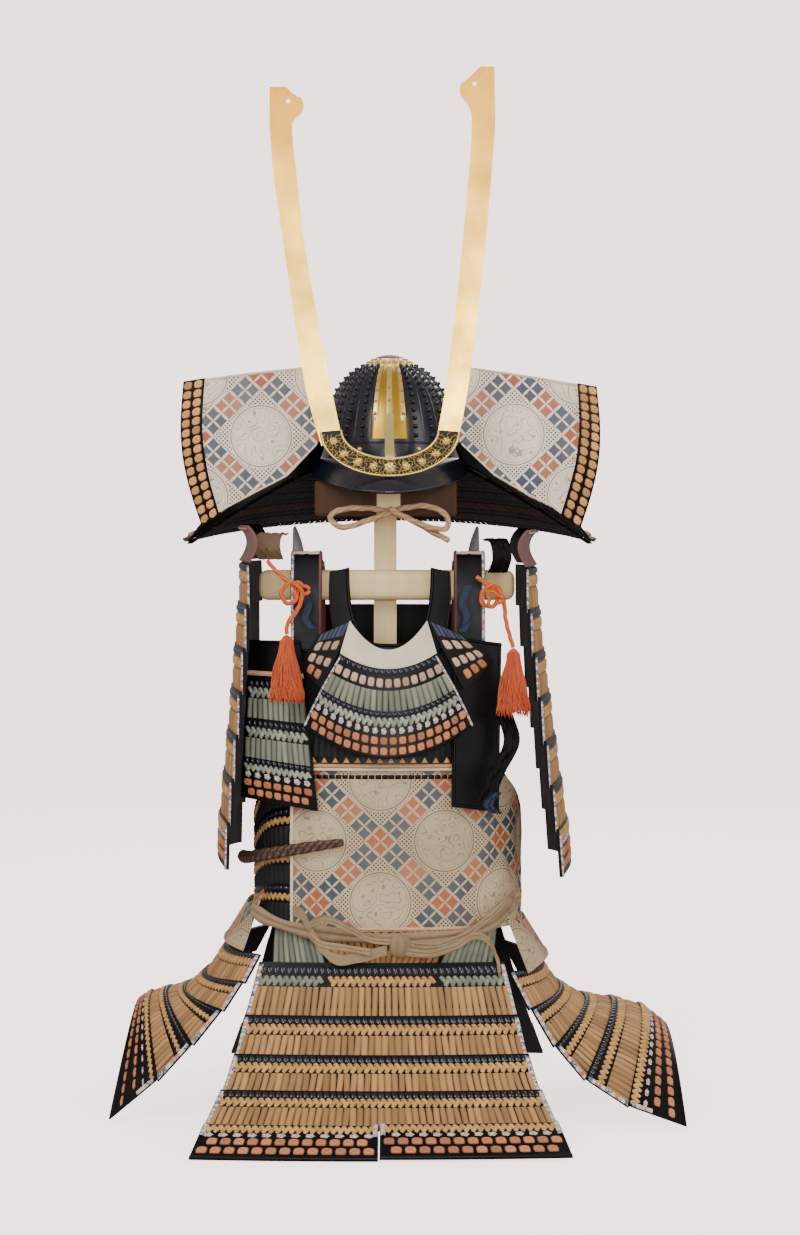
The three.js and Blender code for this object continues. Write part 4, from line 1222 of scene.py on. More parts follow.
# Each finish: how it is made, then its colours, as seen on a screen or by a setting's name,
# and its other numbers.
RECIPES = {
    "wood": (wooden, "wood"),
    "lacquer": (lacquered, "lacquer"),
    "peg": (lacquered, (15, 18, 30), 0.18, 0.4, 0.4),
    "iron": (lacquered, (15, 18, 28), 0.24, 0.35, 0.4),
    "tan_knot": (knotted, (232, 166, 96)),
    "rust": (lacquered, (112, 78, 60), 0.5, 0.2),
    "gilt": (gilded, "gilt"),
    "field": (gilded, (200, 160, 52)),
    "lining": (lacquered, (10, 8, 7), 0.5, 0, 0.1),
    "sash": (plaited, (104, 84, 64)),
    "navy": (woven, (18, 34, 66), 0.4),
    # The horns' second colour is painted shade towards their tips.
    "horn": (gilded, (255, 208, 88), (194, 134, 44)),
    # a dark plate standing for the openwork's holes: the dark visor behind and painted shade in
    # them
    "holder_back": (hide, (24, 17, 9)),
    "lacing": (woven, "lacing"),
    "chevron": (woven, "chevron", 0.25),
    "green": (woven, "green", 0.3),
    "pale_lace": (woven, (164, 168, 150), 0.35),
    "blue_lace": (woven, (74, 84, 104), 0.3),
    "dark_lace": (woven, (13, 14, 20), 0.4),
    "brown_lace": (woven, (44, 34, 24), 0.4),
    "red_lace": (woven, (66, 20, 14), 0.4),
    "knot": (knotted, "knot"),
    "pale_knot": (knotted, (214, 178, 150)),
    "binding": (flecked, (222, 214, 200), (70, 84, 122), (176, 96, 86), 0.02),
    "rolled": (flecked, (214, 150, 90), (236, 226, 200), (160, 84, 60), 0.012),
    "turn_right": (stencilled, "leather", -258, 932),
    "turn_left": (stencilled, "leather", 87, 934),
    "body_leather": (stencilled, (208, 186, 148), -7, 382),
    "leather": (hide, (236, 220, 190)),
    "brown_leather": (hide, (104, 78, 52)),
    "grey_leather": (hide, (150, 142, 146)),
    "pink_leather": (hide, (112, 66, 62)),
    "red_leather": (hide, (168, 70, 62)),
    "belt": (hide, "belt"),
    "rope": (twisted, "rope"),
    "silk": (twisted, "silk"),
    "tassel": (woven, (228, 94, 34), 0.3),
}
MADE = {}


def mixed(value):
    """The colour of a setting, for its name, or of three screen numbers; else the value."""
    if isinstance(value, str):
        return (*getattr(bpy.context.scene.armour_looks, value), 1)
    return rgb(*value) if isinstance(value, tuple) else value


def finished(name):
    """The finish of that name, made the first time it is asked for."""
    if name not in MADE:
        maker, *values = RECIPES[name]
        MADE[name] = maker(Look(name), *map(mixed, values))
    return MADE[name]


def dress(node, finish):
    """A CAD node that stays gets a finish."""
    piece = bpy.data.objects[node]
    if not piece.material_slots:
        piece.data.materials.append(finished(finish))
    for place in piece.material_slots:
        place.material = finished(finish)


def tint(name, description, red, green, blue):
    """A colour setting whose default is a colour seen on a screen."""
    return bpy.props.FloatVectorProperty(name=name, description=description, size=3,
                                         subtype="COLOR", min=0, max=1,
                                         default=rgb(red, green, blue)[:3])


def number(name, description, default, low, high, unit="NONE"):
    """A setting between two limits."""
    return bpy.props.FloatProperty(name=name, description=description, default=default,
                                   min=low, max=high, unit=unit)


# ---- Settings ----
class ARMOUR_PG_looks(bpy.types.PropertyGroup):
    """Colours of the armour, and the sizes of its laces and rivets."""
    pitch: number("Lace pitch", "Width of one lace", 0.009, 0.004, 0.03, "LENGTH")
    rivet: number("Rivet radius", "Radius of a helmet rivet", 0.0034, 0.001, 0.008, "LENGTH")
    wood: tint("Wood", "Colour of the stand", 255, 226, 168)
    lacquer: tint("Lacquer", "Colour of the lacquered boards", 8, 7, 8)
    gilt: tint("Gilt", "Colour of the gilt metal", 240, 216, 138)
    lacing: tint("Lacing", "Colour of the hanging laces", 184, 138, 84)
    chevron: tint("Cross lacing", "Colour of the cross-laced bands", 206, 158, 90)
    green: tint("Green lacing", "Colour of the pale green laces", 134, 140, 120)
    knot: tint("Knots", "Colour of the crossed knots", 208, 130, 82)
    leather: tint("Leather", "Ground colour of the printed leather", 250, 234, 212)
    terracotta: tint("Print red", "Terracotta of the printed leather", 168, 92, 60)
    print_blue: tint("Print blue", "Blue of the printed leather", 30, 56, 78)
    silk: tint("Silk", "Colour of the tassels", 222, 100, 36)
    rope: tint("Rope", "Colour of the hemp rope", 196, 156, 116)
    belt: tint("Belt", "Colour of the belt", 150, 126, 92)


class ARMOUR_PG_stage(bpy.types.PropertyGroup):
    """Camera, lights and surround."""
    lens: number("Lens", "Focal length", 87.45, 20, 300, "CAMERA")
    distance: number("Distance", "Camera before the post", 4.2, 1, 20, "LENGTH")
    height: number("Height", "Camera above the floor", 0.845, 0, 5, "LENGTH")
    pitch: bpy.props.FloatProperty(name="Pitch", description="Camera's tilt from straight down",
                                   default=math.radians(87.757), subtype="ANGLE", unit="ROTATION")
    key: number("Key light", "Power of the main light", 115, 0, 2000, "POWER")
    front: number("Front light", "Power of the front light", 120, 0, 2000, "POWER")
    fill: number("Fill light", "Power of the fill and the rim", 60, 0, 2000, "POWER")
    world: number("World", "Light from all round", 0.56, 0, 5)
    surround: number("Surround", "Brightness of the sweep", 2.6, 0, 6)


class Step:
    """What every operator below shares: it can be undone."""
    bl_options = {"REGISTER", "UNDO"}


class ARMOUR_OT_camera(Step, bpy.types.Operator):
    """Place the camera in front of the armour"""
    bl_idname = "armour.camera"
    bl_label = "Camera"

    def execute(self, context):
        stage = context.scene.armour_stage
        data = bpy.data.cameras.new("camera")
        data.lens = stage.lens
        data.sensor_width = 36
        camera = bpy.data.objects.new("camera", data)
        camera.location = (CAMERA_X, -stage.distance, stage.height)
        camera.rotation_euler = (stage.pitch, 0, 0)
        context.collection.objects.link(camera)
        context.scene.camera = camera
        return {"FINISHED"}


def rope_swell(strands, lay, depth):
    """Radius of a laid rope: it swells with the cosine of the wound angle."""
    def swell(angle, run):
        return 1 + depth * np.cos(strands * angle - 2 * np.pi * run / lay)
    return swell


def tassel(name, points, node):
    """A hank of silk under the cord's end: a core turned from a profile, and round it loose
    strands whose distance from the middle follows the same profile, each swaying by a sine
    that grows to the foot."""
    x, y, end = points[-1]
    top = end - TASSEL.gap
    piece = Piece(name)
    angle = circle(60)
    down = np.linspace(0, 1, 30)[:, None]
    radius = np.interp(down, TASSEL_FALL, TASSEL_GIRTH) * 0.9
    radius = radius * np.minimum(1, (1 - down) * 14 + 0.02)
    radius = radius * (1 + 0.05 * np.cos(20 * angle + 4 * down))
    core = xyz(x + radius * np.cos(angle), y + radius * np.sin(angle),
               top - TASSEL.core * down + 0 * angle)
    piece.grids(core[None], "tassel", wrap=True)
    draws = (TASSEL.strands, 1, 1)
    turn, reach, hang, sway = (piece.chance.random(draws) for _ in range(4))
    down = np.linspace(0, 1, 13)[None, :, None]
    angle = circle(5)
    away = np.interp(down, TASSEL_FALL, TASSEL_GIRTH) * (0.88 + 0.2 * reach)
    away = away + 2.2 * down * np.sin(8 * down + 6 * sway)
    turned = 2 * np.pi * turn + 0.4 * down * np.sin(5 * down + 9 * sway)
    thick = 1.15 * (1 - (2 * down - 1) ** 12) + 0.1
    strands = xyz(x + away * np.cos(turned) + thick * np.cos(angle),
                  y + away * np.sin(turned) + thick * np.sin(angle),
                  top - down * (TASSEL.strand + TASSEL.longer * hang) + 0 * angle)
    piece.grids(strands, "tassel", wrap=True)
    return piece.make("silk", node)


class ARMOUR_OT_cords(Step, bpy.types.Operator):
    """Make the rope, the tassel cords with their tassels and the sash"""
    bl_idname = "armour.cords"
    bl_label = "Cords"

    def execute(self, context):
        line = spaced(HELMET_CORD, 260)
        piece = Piece("helmet_rope")
        piece.tube(line, 3.9, "rope", 18, swell=rope_swell(3, 26, 0.12))
        rope = piece.make("hemp", "helmet_cord")
        run_length(HELMET_CORD) * MM
        for side, points in (("right", RIGHT_TASSEL_CORD), ("left", LEFT_TASSEL_CORD)):
            hung = tassel(f"silk_tassel_{side}", points, f"tassel_{side}")
            line = spaced(points, 160)
            piece = Piece(f"silk_cord_{side}")
            piece.tube(line, 2.9, "silk", 12, swell=rope_swell(3, 15, 0.1))
            cord = piece.make("silk", f"tassel_cord_{side}")
            [c * MM for c in points[0]]
            run_length(points) * MM
        points = [torso(*row) for row in SASH]
        line = spaced(points, 120)
        piece = Piece("braided_sash")
        plait = rope_swell(4, 22, 0.07)
        whole = run_length(points)

        def tapered(angle, run):
            """The plait's own swell, thinned towards the front end as a fifth power."""
            return plait(angle, run) * (1.08 - 0.45 * (run / whole) ** 5)
        piece.tube(line, 7.8, "sash", 24, ref=(0, 0, 1), swell=tapered)
        sash = piece.make("hemp", "side_sash")
        (points[-1] * MM).tolist()
        run_length(points) * MM
        return {"FINISHED"}


class ARMOUR_OT_stand(Step, bpy.types.Operator):
    """Give the stand its wood"""
    bl_idname = "armour.stand"
    bl_label = "Stand"

    def execute(self, context):
        for node in ("stand_foot", "stand_post", "stand_crossbar"):
            dress(node, "wood")
        return {"FINISHED"}


class ARMOUR_OT_bowl(Step, bpy.types.Operator):
    """Make the ribbed and riveted bowl with its gilt field and finial"""
    bl_idname = "armour.bowl"
    bl_label = "Helmet bowl"

    def execute(self, context):
        piece = Piece("ribbed_bowl")
        piece.shell(bowl_face, 96, 30, 2.5, "iron")
        part = 360 / RIBS.count
        turns = (np.arange(RIBS.count) + 0.5) * part
        turns = turns[(turns > part) & (turns < 360 - part)]
        column = (((turns + 180) % 360) / 360)[:, None, None]
        a, b = local(5, 26)
        piece.laid(bowl_face, column + part / 720, lerp(RIBS.top, RIBS.foot, (b + 1) / 2),
                   a * RIBS.half, 0 * a, RIBS.tall * (1 - a ** 2) ** 0.5, "iron")
        self.rivets(piece, column, context.scene.armour_looks.rivet / MM)
        rail(piece, bowl_face, 0.87, 1.6, "iron", across=160)
        rail(piece, bowl_face, 0.985, 1.8, "iron", across=160)
        a, b = local(9, 9)
        for side in (-1, 1):
            piece.laid(bowl_face, 0.5 + side * 24.5 / 360 + 0 * a, 0.915, a * 3.6, b * 3.6,
                       dome(a, b, 4, 0.6), "gilt")
        self.field(piece)
        piece.make("iron", "helmet_bowl")
        self.finial()
        return {"FINISHED"}

    def rivets(self, piece, column, radius):
        """Rows of rivets down the middle of each plate, smaller towards the crown."""
        rows = np.linspace(RIVETS.top, RIVETS.foot, RIVETS.rows)
        u = np.repeat(column.reshape(-1), len(rows))[:, None, None]
        w = np.tile(rows, len(column))[:, None, None]
        a, b = local(9, 9)
        size = radius * lerp(0.7, 1.0, w)
        piece.laid(bowl_face, u, w, a * size, b * size, dome(a, b, RIVETS.tall, 0.6), "iron")

    def field(self, piece):
        """The gilt field: a plate on the bowl's front that narrows upwards, three raised
        bars with rivets on it, and a prong that leans forward to the crest holder."""
        a, b = local(21, 26)
        w = lerp(FIELD.top, FIELD.foot, (b + 1) / 2)
        piece.laid(bowl_face, 0.5 + 0 * a, w, a * field_half(w), 0 * a,
                   1.4 - 2.0 * (np.abs(a) > 0.99), "field")
        for across, wide, foot in FIELD_BARS:
            a, b = local(7, 26)
            w = lerp(0.07, foot, (b + 1) / 2)
            half = a * wide * lerp(0.6, 1, (b + 1) / 2)
            high = 1.2 + 3.4 * (1 - a ** 6) ** 0.5 * (1 - b ** 12)
            piece.laid(bowl_face, 0.5 + 0 * a, w, across * field_half(w) + half, 0 * a, high,
                       "gilt")
            w = np.linspace(0.12, foot - 0.05, 7)[:, None, None]
            a, b = local(7, 7)
            piece.laid(bowl_face, 0.5 + 0 * w, w, across * field_half(w) + a * 2.3, b * 2.3,
                       4.2 + dome(a, b, 2.6, 0.5), "field")
        piece.shell(level_band(PRONG_PATH, 12.5), 4, 20, 2.2, "gilt")

    def finial(self):
        """The crown fitting: a petalled gilt ring with two steps, turned from a profile, and
        a brown cap that is a flat dome."""
        piece = Piece("bowl_finial")
        angle = circle(96)
        radius = FINIAL[:, :1] * (1 + 0.05 * np.cos(16 * angle) * FINIAL[:, 2:])
        ring = xyz(BOWL.x + radius * np.cos(angle), radius * np.sin(angle),
                   FINIAL[:, 1:2] + 0 * angle)
        piece.grids(ring[::-1][None], "gilt", wrap=True)
        fall = np.linspace(0.02, np.pi / 2, 10)[:, None]
        radius = FINIAL_CAP.radius * np.sin(fall)
        cap = xyz(BOWL.x + radius * np.cos(angle), radius * np.sin(angle),
                  FINIAL_CAP.foot + FINIAL_CAP.height * np.cos(fall) + 0 * angle)
        piece.grids(cap[None], "rust", wrap=True)
        piece.make("gilt", "bowl_top_ring")


class ARMOUR_OT_crest(Step, bpy.types.Operator):
    """Make the visor and the openwork crest holder, and gild the horns"""
    bl_idname = "armour.crest"
    bl_label = "Visor and crest"

    def execute(self, context):
        piece = Piece("swept_visor")
        piece.shell(visor, 64, 14, 3, "iron")
        rail(piece, visor, 0.985, 1.8, "iron", across=90)
        piece.make("lacquer", "visor")
        dress("crest_horn_right", "horn")
        dress("crest_horn_left", "horn")
        piece = Piece("openwork_holder")
        # dark back plate standing for the holes of the openwork: the dark visor behind and painted
        # shade
        piece.shell(holder, 64, 6, 2.4, "holder_back")
        rail(piece, holder, 0.05, 1.7, "gilt", tall=2.6, across=90)
        rail(piece, holder, 0.95, 1.7, "gilt", tall=2.6, across=90)
        self.scrolls(piece)
        piece.make("gilt", "crest_holder")
        return {"FINISHED"}

    def scrolls(self, piece):
        """Chased scrolls: rosettes at even places between the rims, a larger one in the
        middle, and curled leaves turned every way between them, each a small relief that
        sinks at its outline."""
        a, b = local(15, 15)
        reach = np.sqrt(a ** 2 + b ** 2)
        angle = np.arctan2(b, a)
        rosette = 2.6 * (1 - (reach / (0.84 + 0.14 * np.cos(7 * angle))) ** 3)
        rosette = np.clip(rosette - 1.6 * np.exp(-((reach - 0.42) / 0.09) ** 2), -0.8, 3)
        u, _ = even(holder, 0.5, 21)
        size = np.where(np.abs(u - 0.5) < 0.03, 8.6, 6.2)[:, None, None]
        piece.laid(holder, u[:, None, None], 0.5, a * size, b * size, rosette, "gilt")
        a, b = local(5, 9)
        for row, shift in SCROLL_ROWS:
            u, _ = even(holder, row, 5.2, shift=shift)
            turn = (piece.chance.random(len(u)) * 2 * np.pi)[:, None, None]
            curl = 1.9 * (b ** 2 - 0.4)
            right = (a * 0.75 + curl) * np.cos(turn) - b * 3.6 * np.sin(turn)
            down = (a * 0.75 + curl) * np.sin(turn) + b * 3.6 * np.cos(turn)
            high = 2.3 * (1 - a ** 2) ** 0.5 * (1 - b ** 6) - 0.1
            piece.laid(holder, u[:, None, None], row, right, down, high, "gilt")


class ARMOUR_OT_neck_guard(Step, bpy.types.Operator):
    """Make the laced neck guard and its printed turn-backs"""
    bl_idname = "armour.neck_guard"
    bl_label = "Neck guard"

    def execute(self, context):
        piece = Piece("laced_neck_guard")
        for row in range(NECK_ROWS):
            face = scale_row(piece, neck_guard, NECK_ROWS, row, PANEL_STEP, (60, 3), 3.2,
                             tuck=0.06, lining="lining")
            if row == 0:
                pegs(piece, face, 0.2, 0.4, "peg")
                strips(piece, face, 0.46, 1.0, "lacing")
            elif row < NECK_ROWS - 1:
                pegs(piece, face, -0.04, 0.2, "peg")
                chevrons(piece, face, 0.22, 0.46, "chevron", tall=1.8)
                strips(piece, face, 0.5, 1.0, "lacing")
            else:
                pegs(piece, face, -0.04, 0.12, "peg")
                squares(piece, face, 0.14, 0.5, "knot", 13.5)
                squares(piece, face, 0.52, 0.88, "knot", 13.5, shift=0.5)
                rail(piece, face, 0.97, 1.5, "lacquer", across=120)
        inside = lambda u, w: push(neck_guard, 1 - u, w, -7.4)
        for row in range(NECK_ROWS):
            finish = {3: "red_lace", 4: "brown_lace"}.get(row, "dark_lace")
            top = row / NECK_ROWS
            strips(piece, inside, top + 0.01, top + 0.12, finish, 8.0, tall=1.6)
            strips(piece, inside, top + 0.13, top + 0.195, "dark_lace", 8.0, tall=1.4)
        piece.make("lacquer", "neck_guard")
        for side, table, mirrored in (("right", RIGHT_TURNBACK, False),
                                      ("left", LEFT_TURNBACK, True)):
            face, flip = turnback(table, mirrored), flipped(mirrored)
            self.turned(side, face, flip)
            self.folded(side, face, flip)
        return {"FINISHED"}

    def folded(self, side, face, flip):
        """The fold of a turned-back end: straight lines from the foot of the printed leather
        to the near edge of the neck guard."""
        def fold(u, w):
            above = face(flip(lerp(1.1, 0, u)), 0 * u + 0.985)
            below = neck_guard(flip(1) + 0 * u, u)
            return lerp(above, below, np.asarray(w)[..., None])
        piece = Piece(f"neck_fold_{side}")
        piece.shell(fold, 40, 8, 2.4, "lining")
        strips(piece, fold, 0.08, 0.92, "dark_lace", 8.0, (0.02, 0.98), tall=1.6)
        piece.make("lacquer")

    def turned(self, side, face, flip):
        """A turned-back end: printed leather with a rolled rim, and two columns of crossed
        knots down its outer edge."""
        def span(start, end):
            return tuple(sorted((flip(start), flip(end))))
        piece = Piece(f"turned_leather_{side}")
        way = 1 if flip(0) == 0 else -1
        folds = [(flip(u), w, way * slant, *rest) for u, w, slant, *rest in TURNED_FOLDS]
        piece.shell(creased(face, folds), 50, 34, 3.4, f"turn_{side}", span=span(0.0, 1.1),
                    uv=lambda points, u, w: points[..., [0, 2]], waver=0.5, lining="lacquer")
        piece.shell(lifted(face, 0.8), 6, 24, 1.2, "lacquer", span=span(0.0, 0.18),
                    drop=(-0.005, 1.005))
        a, b = local(9, 9)
        rim = 1 + 0.1 * np.cos(4 * np.arctan2(b, a))
        reach = (np.abs(a) ** 4 + np.abs(b) ** 4) ** 0.25 / rim
        high = 0.8 + 2.3 * np.clip(1 - reach ** 6, -0.5, 1) * (1 - 0.3 * pad_groove(a, b, 0.16))
        w = ((np.arange(15) + 0.5) / 15)[:, None, None]
        for column in (0.045, 0.13):
            piece.laid(face, flip(column) + 0 * w, w, a * 6.4, b * 5.7, high, "tan_knot")
        for w in (0.012, 0.988):
            rail(piece, face, w, 1.6, "leather", span=span(0.2, 1), across=40)
        edging(piece, face, flip(0.0), 0, 1, 1.5, "lacquer")
        w = np.linspace(0.05, 0.92, 6)[:, None, None]
        a, b = local(7, 7)
        piece.laid(face, flip(0.2) + 0 * w, w, a * 2.4, b * 2.4, dome(a, b, 2.2, 0.5), "rolled")
        piece.make("leather", f"turnback_{side}")


class ARMOUR_OT_cuirass(Step, bpy.types.Operator):
    """Make the printed front, the laced back and the side plate"""
    bl_idname = "armour.cuirass"
    bl_label = "Cuirass"

    def execute(self, context):
        piece = Piece("printed_cuirass")
        front = creased(torso_arc(*FRONT_ARC, TORSO.bottom), BODY_FOLDS)

        def plan(points, u, w):
            """Length round the body from the front centre, and height."""
            round_body = np.interp(lerp(*FRONT_ARC, u), *turn_run())
            return np.stack([round_body, points[..., 2]], -1)
        piece.shell(front, 70, 28, 3.6, "body_leather", uv=plan, waver=0.7, lining="lacquer")
        top = torso_arc(-33, 33, TORSO.bottom, 4)
        rail(piece, top, 0.0, 2.2, "leather", tall=4, across=110, offset=-1)
        rail(piece, top, 0.0, 2.6, "rolled", tall=4.4, across=110, offset=-6)
        pegs(piece, lifted(front, 1), 0.03, 0.055, "lacquer", 9, (0.05, 0.52), tall=0.9)
        u, _ = even(top, 0.0, 15)
        a, b = local(5, 5)
        piece.laid(lifted(top, 1), u[:, None, None], 0.0, a * 2.5 * (1 + b), b * 4 - 14,
                   1.2 - 0.8 * a ** 2, "tan_knot")
        rail(piece, front, 0.985, 2.4, "rolled", across=120)
        edging(piece, front, 0.0, 0.02, 1, 2.2, "leather")
        piece.make("leather", "cuirass_front")

        piece = Piece("laced_cuirass_back")
        back = torso_arc(*BACK_ARC, TORSO.bottom)
        for row in range(4):
            row_looks(piece, scale_row(piece, back, 4, row, PANEL_STEP, (40, 3), 3.6))
        piece.make("lacquer", "cuirass_back")

        piece = Piece("laced_side_plate")
        side = torso_arc(*SIDE_ARC, TORSO.bottom + 6, -8)
        for row in range(4):
            face = scale_row(piece, side, 4, row, BOARD_STEP, (26, 3), 3.4)
            row_looks(piece, face, "dark_lace", "chevron")
        piece.make("lacquer", "side_plate")
        return {"FINISHED"}


def turn_run():
    """Turns of the body and the length round it from the front centre to each."""
    degrees = np.linspace(-180, 180, 721)
    points = torso(degrees, 0 * degrees)
    run = runs(points)
    return degrees, run - run[360]


class ARMOUR_OT_chest(Step, bpy.types.Operator):
    """Make the chest and back boards, the collar and the two chest plates"""
    bl_idname = "armour.chest"
    bl_label = "Chest boards"

    def execute(self, context):
        piece = Piece("breast_plate")
        breast = chest_piece(*BREAST)
        piece.shell(breast, 40, 12, 4, "lacquer")
        rail(piece, breast, 0.01, 2.4, "lacquer", across=60)
        strips(piece, breast, 0.5, 0.9, "dark_lace", 9)
        piece.make("lacquer", "breast_board")

        piece = Piece("laced_back_board")
        for row in range(3):
            row_looks(piece, scale_row(piece, back_board, 3, row, PANEL_STEP, (30, 3), 3.6))
        piece.make("lacquer", "back_board")

        piece = Piece("collar_plate")
        piece.shell(collar, 60, 8, 4, "lacquer")
        rail(piece, collar, 0.03, 2.6, "lacquer", tall=3.4, across=80)
        rail(piece, collar, 0.97, 2.0, "lacquer", across=80)
        piece.make("lacquer", "collar_board")

        self.sendan()
        piece = Piece("kyubi_board")
        kyubi = chest_piece(*KYUBI)
        piece.shell(kyubi, 20, 24, 4, "lacquer")
        for w in (0.012, 0.988):
            rail(piece, kyubi, w, 2.2, "lacquer", tall=2.4, across=30)
        both_edges(piece, kyubi, 0, 1, 2.2, "lacquer", 2.4)
        piece.make("lacquer", "kyubi_plate")
        return {"FINISHED"}

    def sendan(self):
        """The laced chest plate: a plain head with a rolled band, two laced rows and a row of
        rosettes and knots."""
        piece = Piece("laced_sendan")
        whole = chest_piece(*SENDAN)
        for row in range(4):
            face = scale_row(piece, whole, 4, row, PANEL_STEP, (16, 3), 4)
            if row == 0:
                rail(piece, face, 0.03, 2.4, "lacquer", across=30)
                rail(piece, face, 0.82, 3.4, "rolled", across=30)
            elif row < 3:
                row_looks(piece, face, "green", "pale_lace", pitch=8)
            else:
                pegs(piece, face, -0.04, 0.1, "peg", 8)
                chevrons(piece, face, 0.11, 0.28, "pale_lace", 8, tall=2)
                flowers(piece, face, 0.29, 0.46, "binding", 14)
                squares(piece, face, 0.47, 0.69, "knot", 14)
                squares(piece, face, 0.7, 0.92, "knot", 14, shift=0.5)
        piece.make("lacing", "sendan_panel")


class ARMOUR_OT_apron(Step, bpy.types.Operator):
    """Make the laced throat apron in its three parts"""
    bl_idname = "armour.apron"
    bl_label = "Throat apron"

    def execute(self, context):
        piece = Piece("laced_apron")
        for row in range(5):
            face = scale_row(piece, throat_apron, 5, row, PANEL_STEP, (40, 3), 3.6,
                             finish="lacquer" if row else "leather")
            if row == 1:
                pegs(piece, face, 0.0, 0.3, "peg", 8)
                squares(piece, face, 0.36, 0.92, "pale_knot", 11.5)
            elif row == 2:
                strips(piece, face, 0.0, 1.0, "green", 8)
            elif row == 3:
                pegs(piece, face, 0.0, 0.22, "peg", 8)
                chevrons(piece, face, 0.24, 0.62, "pale_lace", 8)
                flowers(piece, face, 0.64, 1.0, "binding", 12)
            elif row == 4:
                squares(piece, face, 0.02, 0.46, "knot", 13)
                squares(piece, face, 0.48, 0.92, "knot", 13, shift=0.5)
                rail(piece, face, 0.97, 1.6, "lacquer")
        both_edges(piece, throat_apron, 0.2, 1, 2, tall=4)
        piece.make("lacing", "throat_apron_centre")
        for side, plate in APRON_SIDES.items():
            piece = Piece(f"laced_apron_{side}")
            whole = chest_piece(*plate)
            upper = scale_row(piece, whole, 2, 0, BOARD_STEP, (10, 3), 3.6)
            strips(piece, upper, 0.05, 0.45, "blue_lace", 7)
            squares(piece, upper, 0.5, 0.95, "pale_knot", 12)
            lower = scale_row(piece, whole, 2, 1, BOARD_STEP, (10, 3), 3.6)
            squares(piece, lower, 0.06, 0.48, "pale_knot", 12)
            squares(piece, lower, 0.5, 0.92, "knot", 12, shift=0.5)
            piece.make("lacing", f"throat_apron_{side}")
        return {"FINISHED"}


class ARMOUR_OT_shoulders(Step, bpy.types.Operator):
    """Make the lined straps, the standing leaves and the soft pieces between them"""
    bl_idname = "armour.shoulders"
    bl_label = "Shoulder straps"

    def execute(self, context):
        for side, sign, inner in (("right", -1, STRAP.right), ("left", 1, STRAP.left)):
            face = strap(sign, inner)
            piece = Piece(f"lined_strap_{side}")
            piece.shell(face, 10, 60, 4.6, "lacquer", lining="red_leather")
            piece.shell(lifted(face, 0.9), 8, 24, 0.8, "leather", span=(0.06, 0.94),
                        drop=(0.34, 0.69), waver=0.8)
            outer, inner_edge = (0.0, 1.0) if sign > 0 else (1.0, 0.0)
            edging(piece, face, outer, 0.3, 0.98, 2.0, "pink_leather", tall=2.4, down=60)
            edging(piece, face, inner_edge, 0.3, 0.98, 2.0, "binding", tall=2.0, down=60)
            piece.make("lacquer", f"shoulder_strap_{side}")
            piece = Piece(f"leaf_plate_{side}")
            piece.shell(leaf(sign), 28, 10, 2.6, "grey_leather")
            rail(piece, leaf(sign), 0.03, 1.8, "gilt", across=40)
            piece.make("leather", f"standing_leaf_{side}")
        self.braids()
        return {"FINISHED"}

    def braids(self):
        """Flat blue braids on the chest, the orange knots that end them, each a circle whose
        radius waves three times, and the folded leathers."""
        piece = Piece("chest_braids")
        for points in BRAIDS:
            piece.shell(level_band(points, 11), 6, 24, 2.0, "navy", waver=1.2)
        turn = np.linspace(0, 2 * np.pi, 60)
        radius = 9 * (1 + 0.3 * np.cos(3 * turn))
        for x, y, z in BRAID_KNOTS:
            loop = xyz(x + radius * np.cos(turn), y + 1.5 * np.sin(3 * turn),
                       z + radius * np.sin(turn))
            piece.tube(loop, 2.6, "silk", 10)
        piece.make("silk")
        piece = Piece("folded_leathers")
        for points, width, finish in FOLDED_LEATHERS:
            piece.shell(level_band(points, width), 10, 24, 2.4, finish, waver=1.5)
        piece.make("leather")


class ARMOUR_OT_front_skirt(Step, bpy.types.Operator):
    """Make the rows of the front skirt and the lacing that hangs it"""
    bl_idname = "armour.front_skirt"
    bl_label = "Front skirt"

    def execute(self, context):
        pitch = context.scene.armour_looks.pitch / MM
        for row in range(SKIRT_ROWS - 1):
            piece = Piece(f"front_row_{row + 1}")
            face = scale_row(piece, front_skirt, SKIRT_ROWS, row, LAME_STEP, (40, 6), 3, 0.03,
                             lining="lining", overlap=LAME_OVERLAP, low=SEAM_LOW)
            if row == 0:
                pegs(piece, face, 0.06, 0.22, "peg", pitch)
                for span, finish in self.thirds(0.28, "chevron"):
                    chevrons(piece, face, 0.24, 0.41, finish, pitch, span)
                strips(piece, face, 0.43, 1.02, "lacing", pitch)
            else:
                row_looks(piece, face, pitch=pitch)
            both_edges(piece, face, 0.05, 1)
            piece.make("lacing", f"skirt_front_{row + 1}")
        lift = np.array([0, -1, 2.5])
        halves = (("right", lambda u, w: front_skirt(u * 0.493, w)),
                  ("left", lambda u, w: front_skirt(lerp(0.497, 1, u), w) + lift))
        for number, (side, whole) in enumerate(halves):
            piece = Piece(f"front_hem_{side}")
            face = scale_row(piece, whole, SKIRT_ROWS, SKIRT_ROWS - 1, LAME_STEP, (24, 6), 3,
                             overlap=LAME_OVERLAP, low=SEAM_LOW)
            hem_looks(piece, face, shift=0.5 * number)
            both_edges(piece, face, -0.08, 0.32)
            piece.make("lacing", f"skirt_front_5_{side}")
        piece = Piece("waist_laces")
        piece.shell(lifted(waist_face, -0.6), 24, 3, 1.2, "lacquer")
        for span, finish in self.thirds(0.27, "lacing"):
            strips(piece, waist_face, 0.0, 1.0, finish, 8.0, span, tall=2.2)
        piece.make("lacing", "waist_lacing")
        return {"FINISHED"}

    def thirds(self, edge, middle):
        """Spans of a row and their laces: green at both ends, the other in the middle."""
        return ((0, edge), "green"), ((edge, 1 - edge), middle), ((1 - edge, 1), "green")


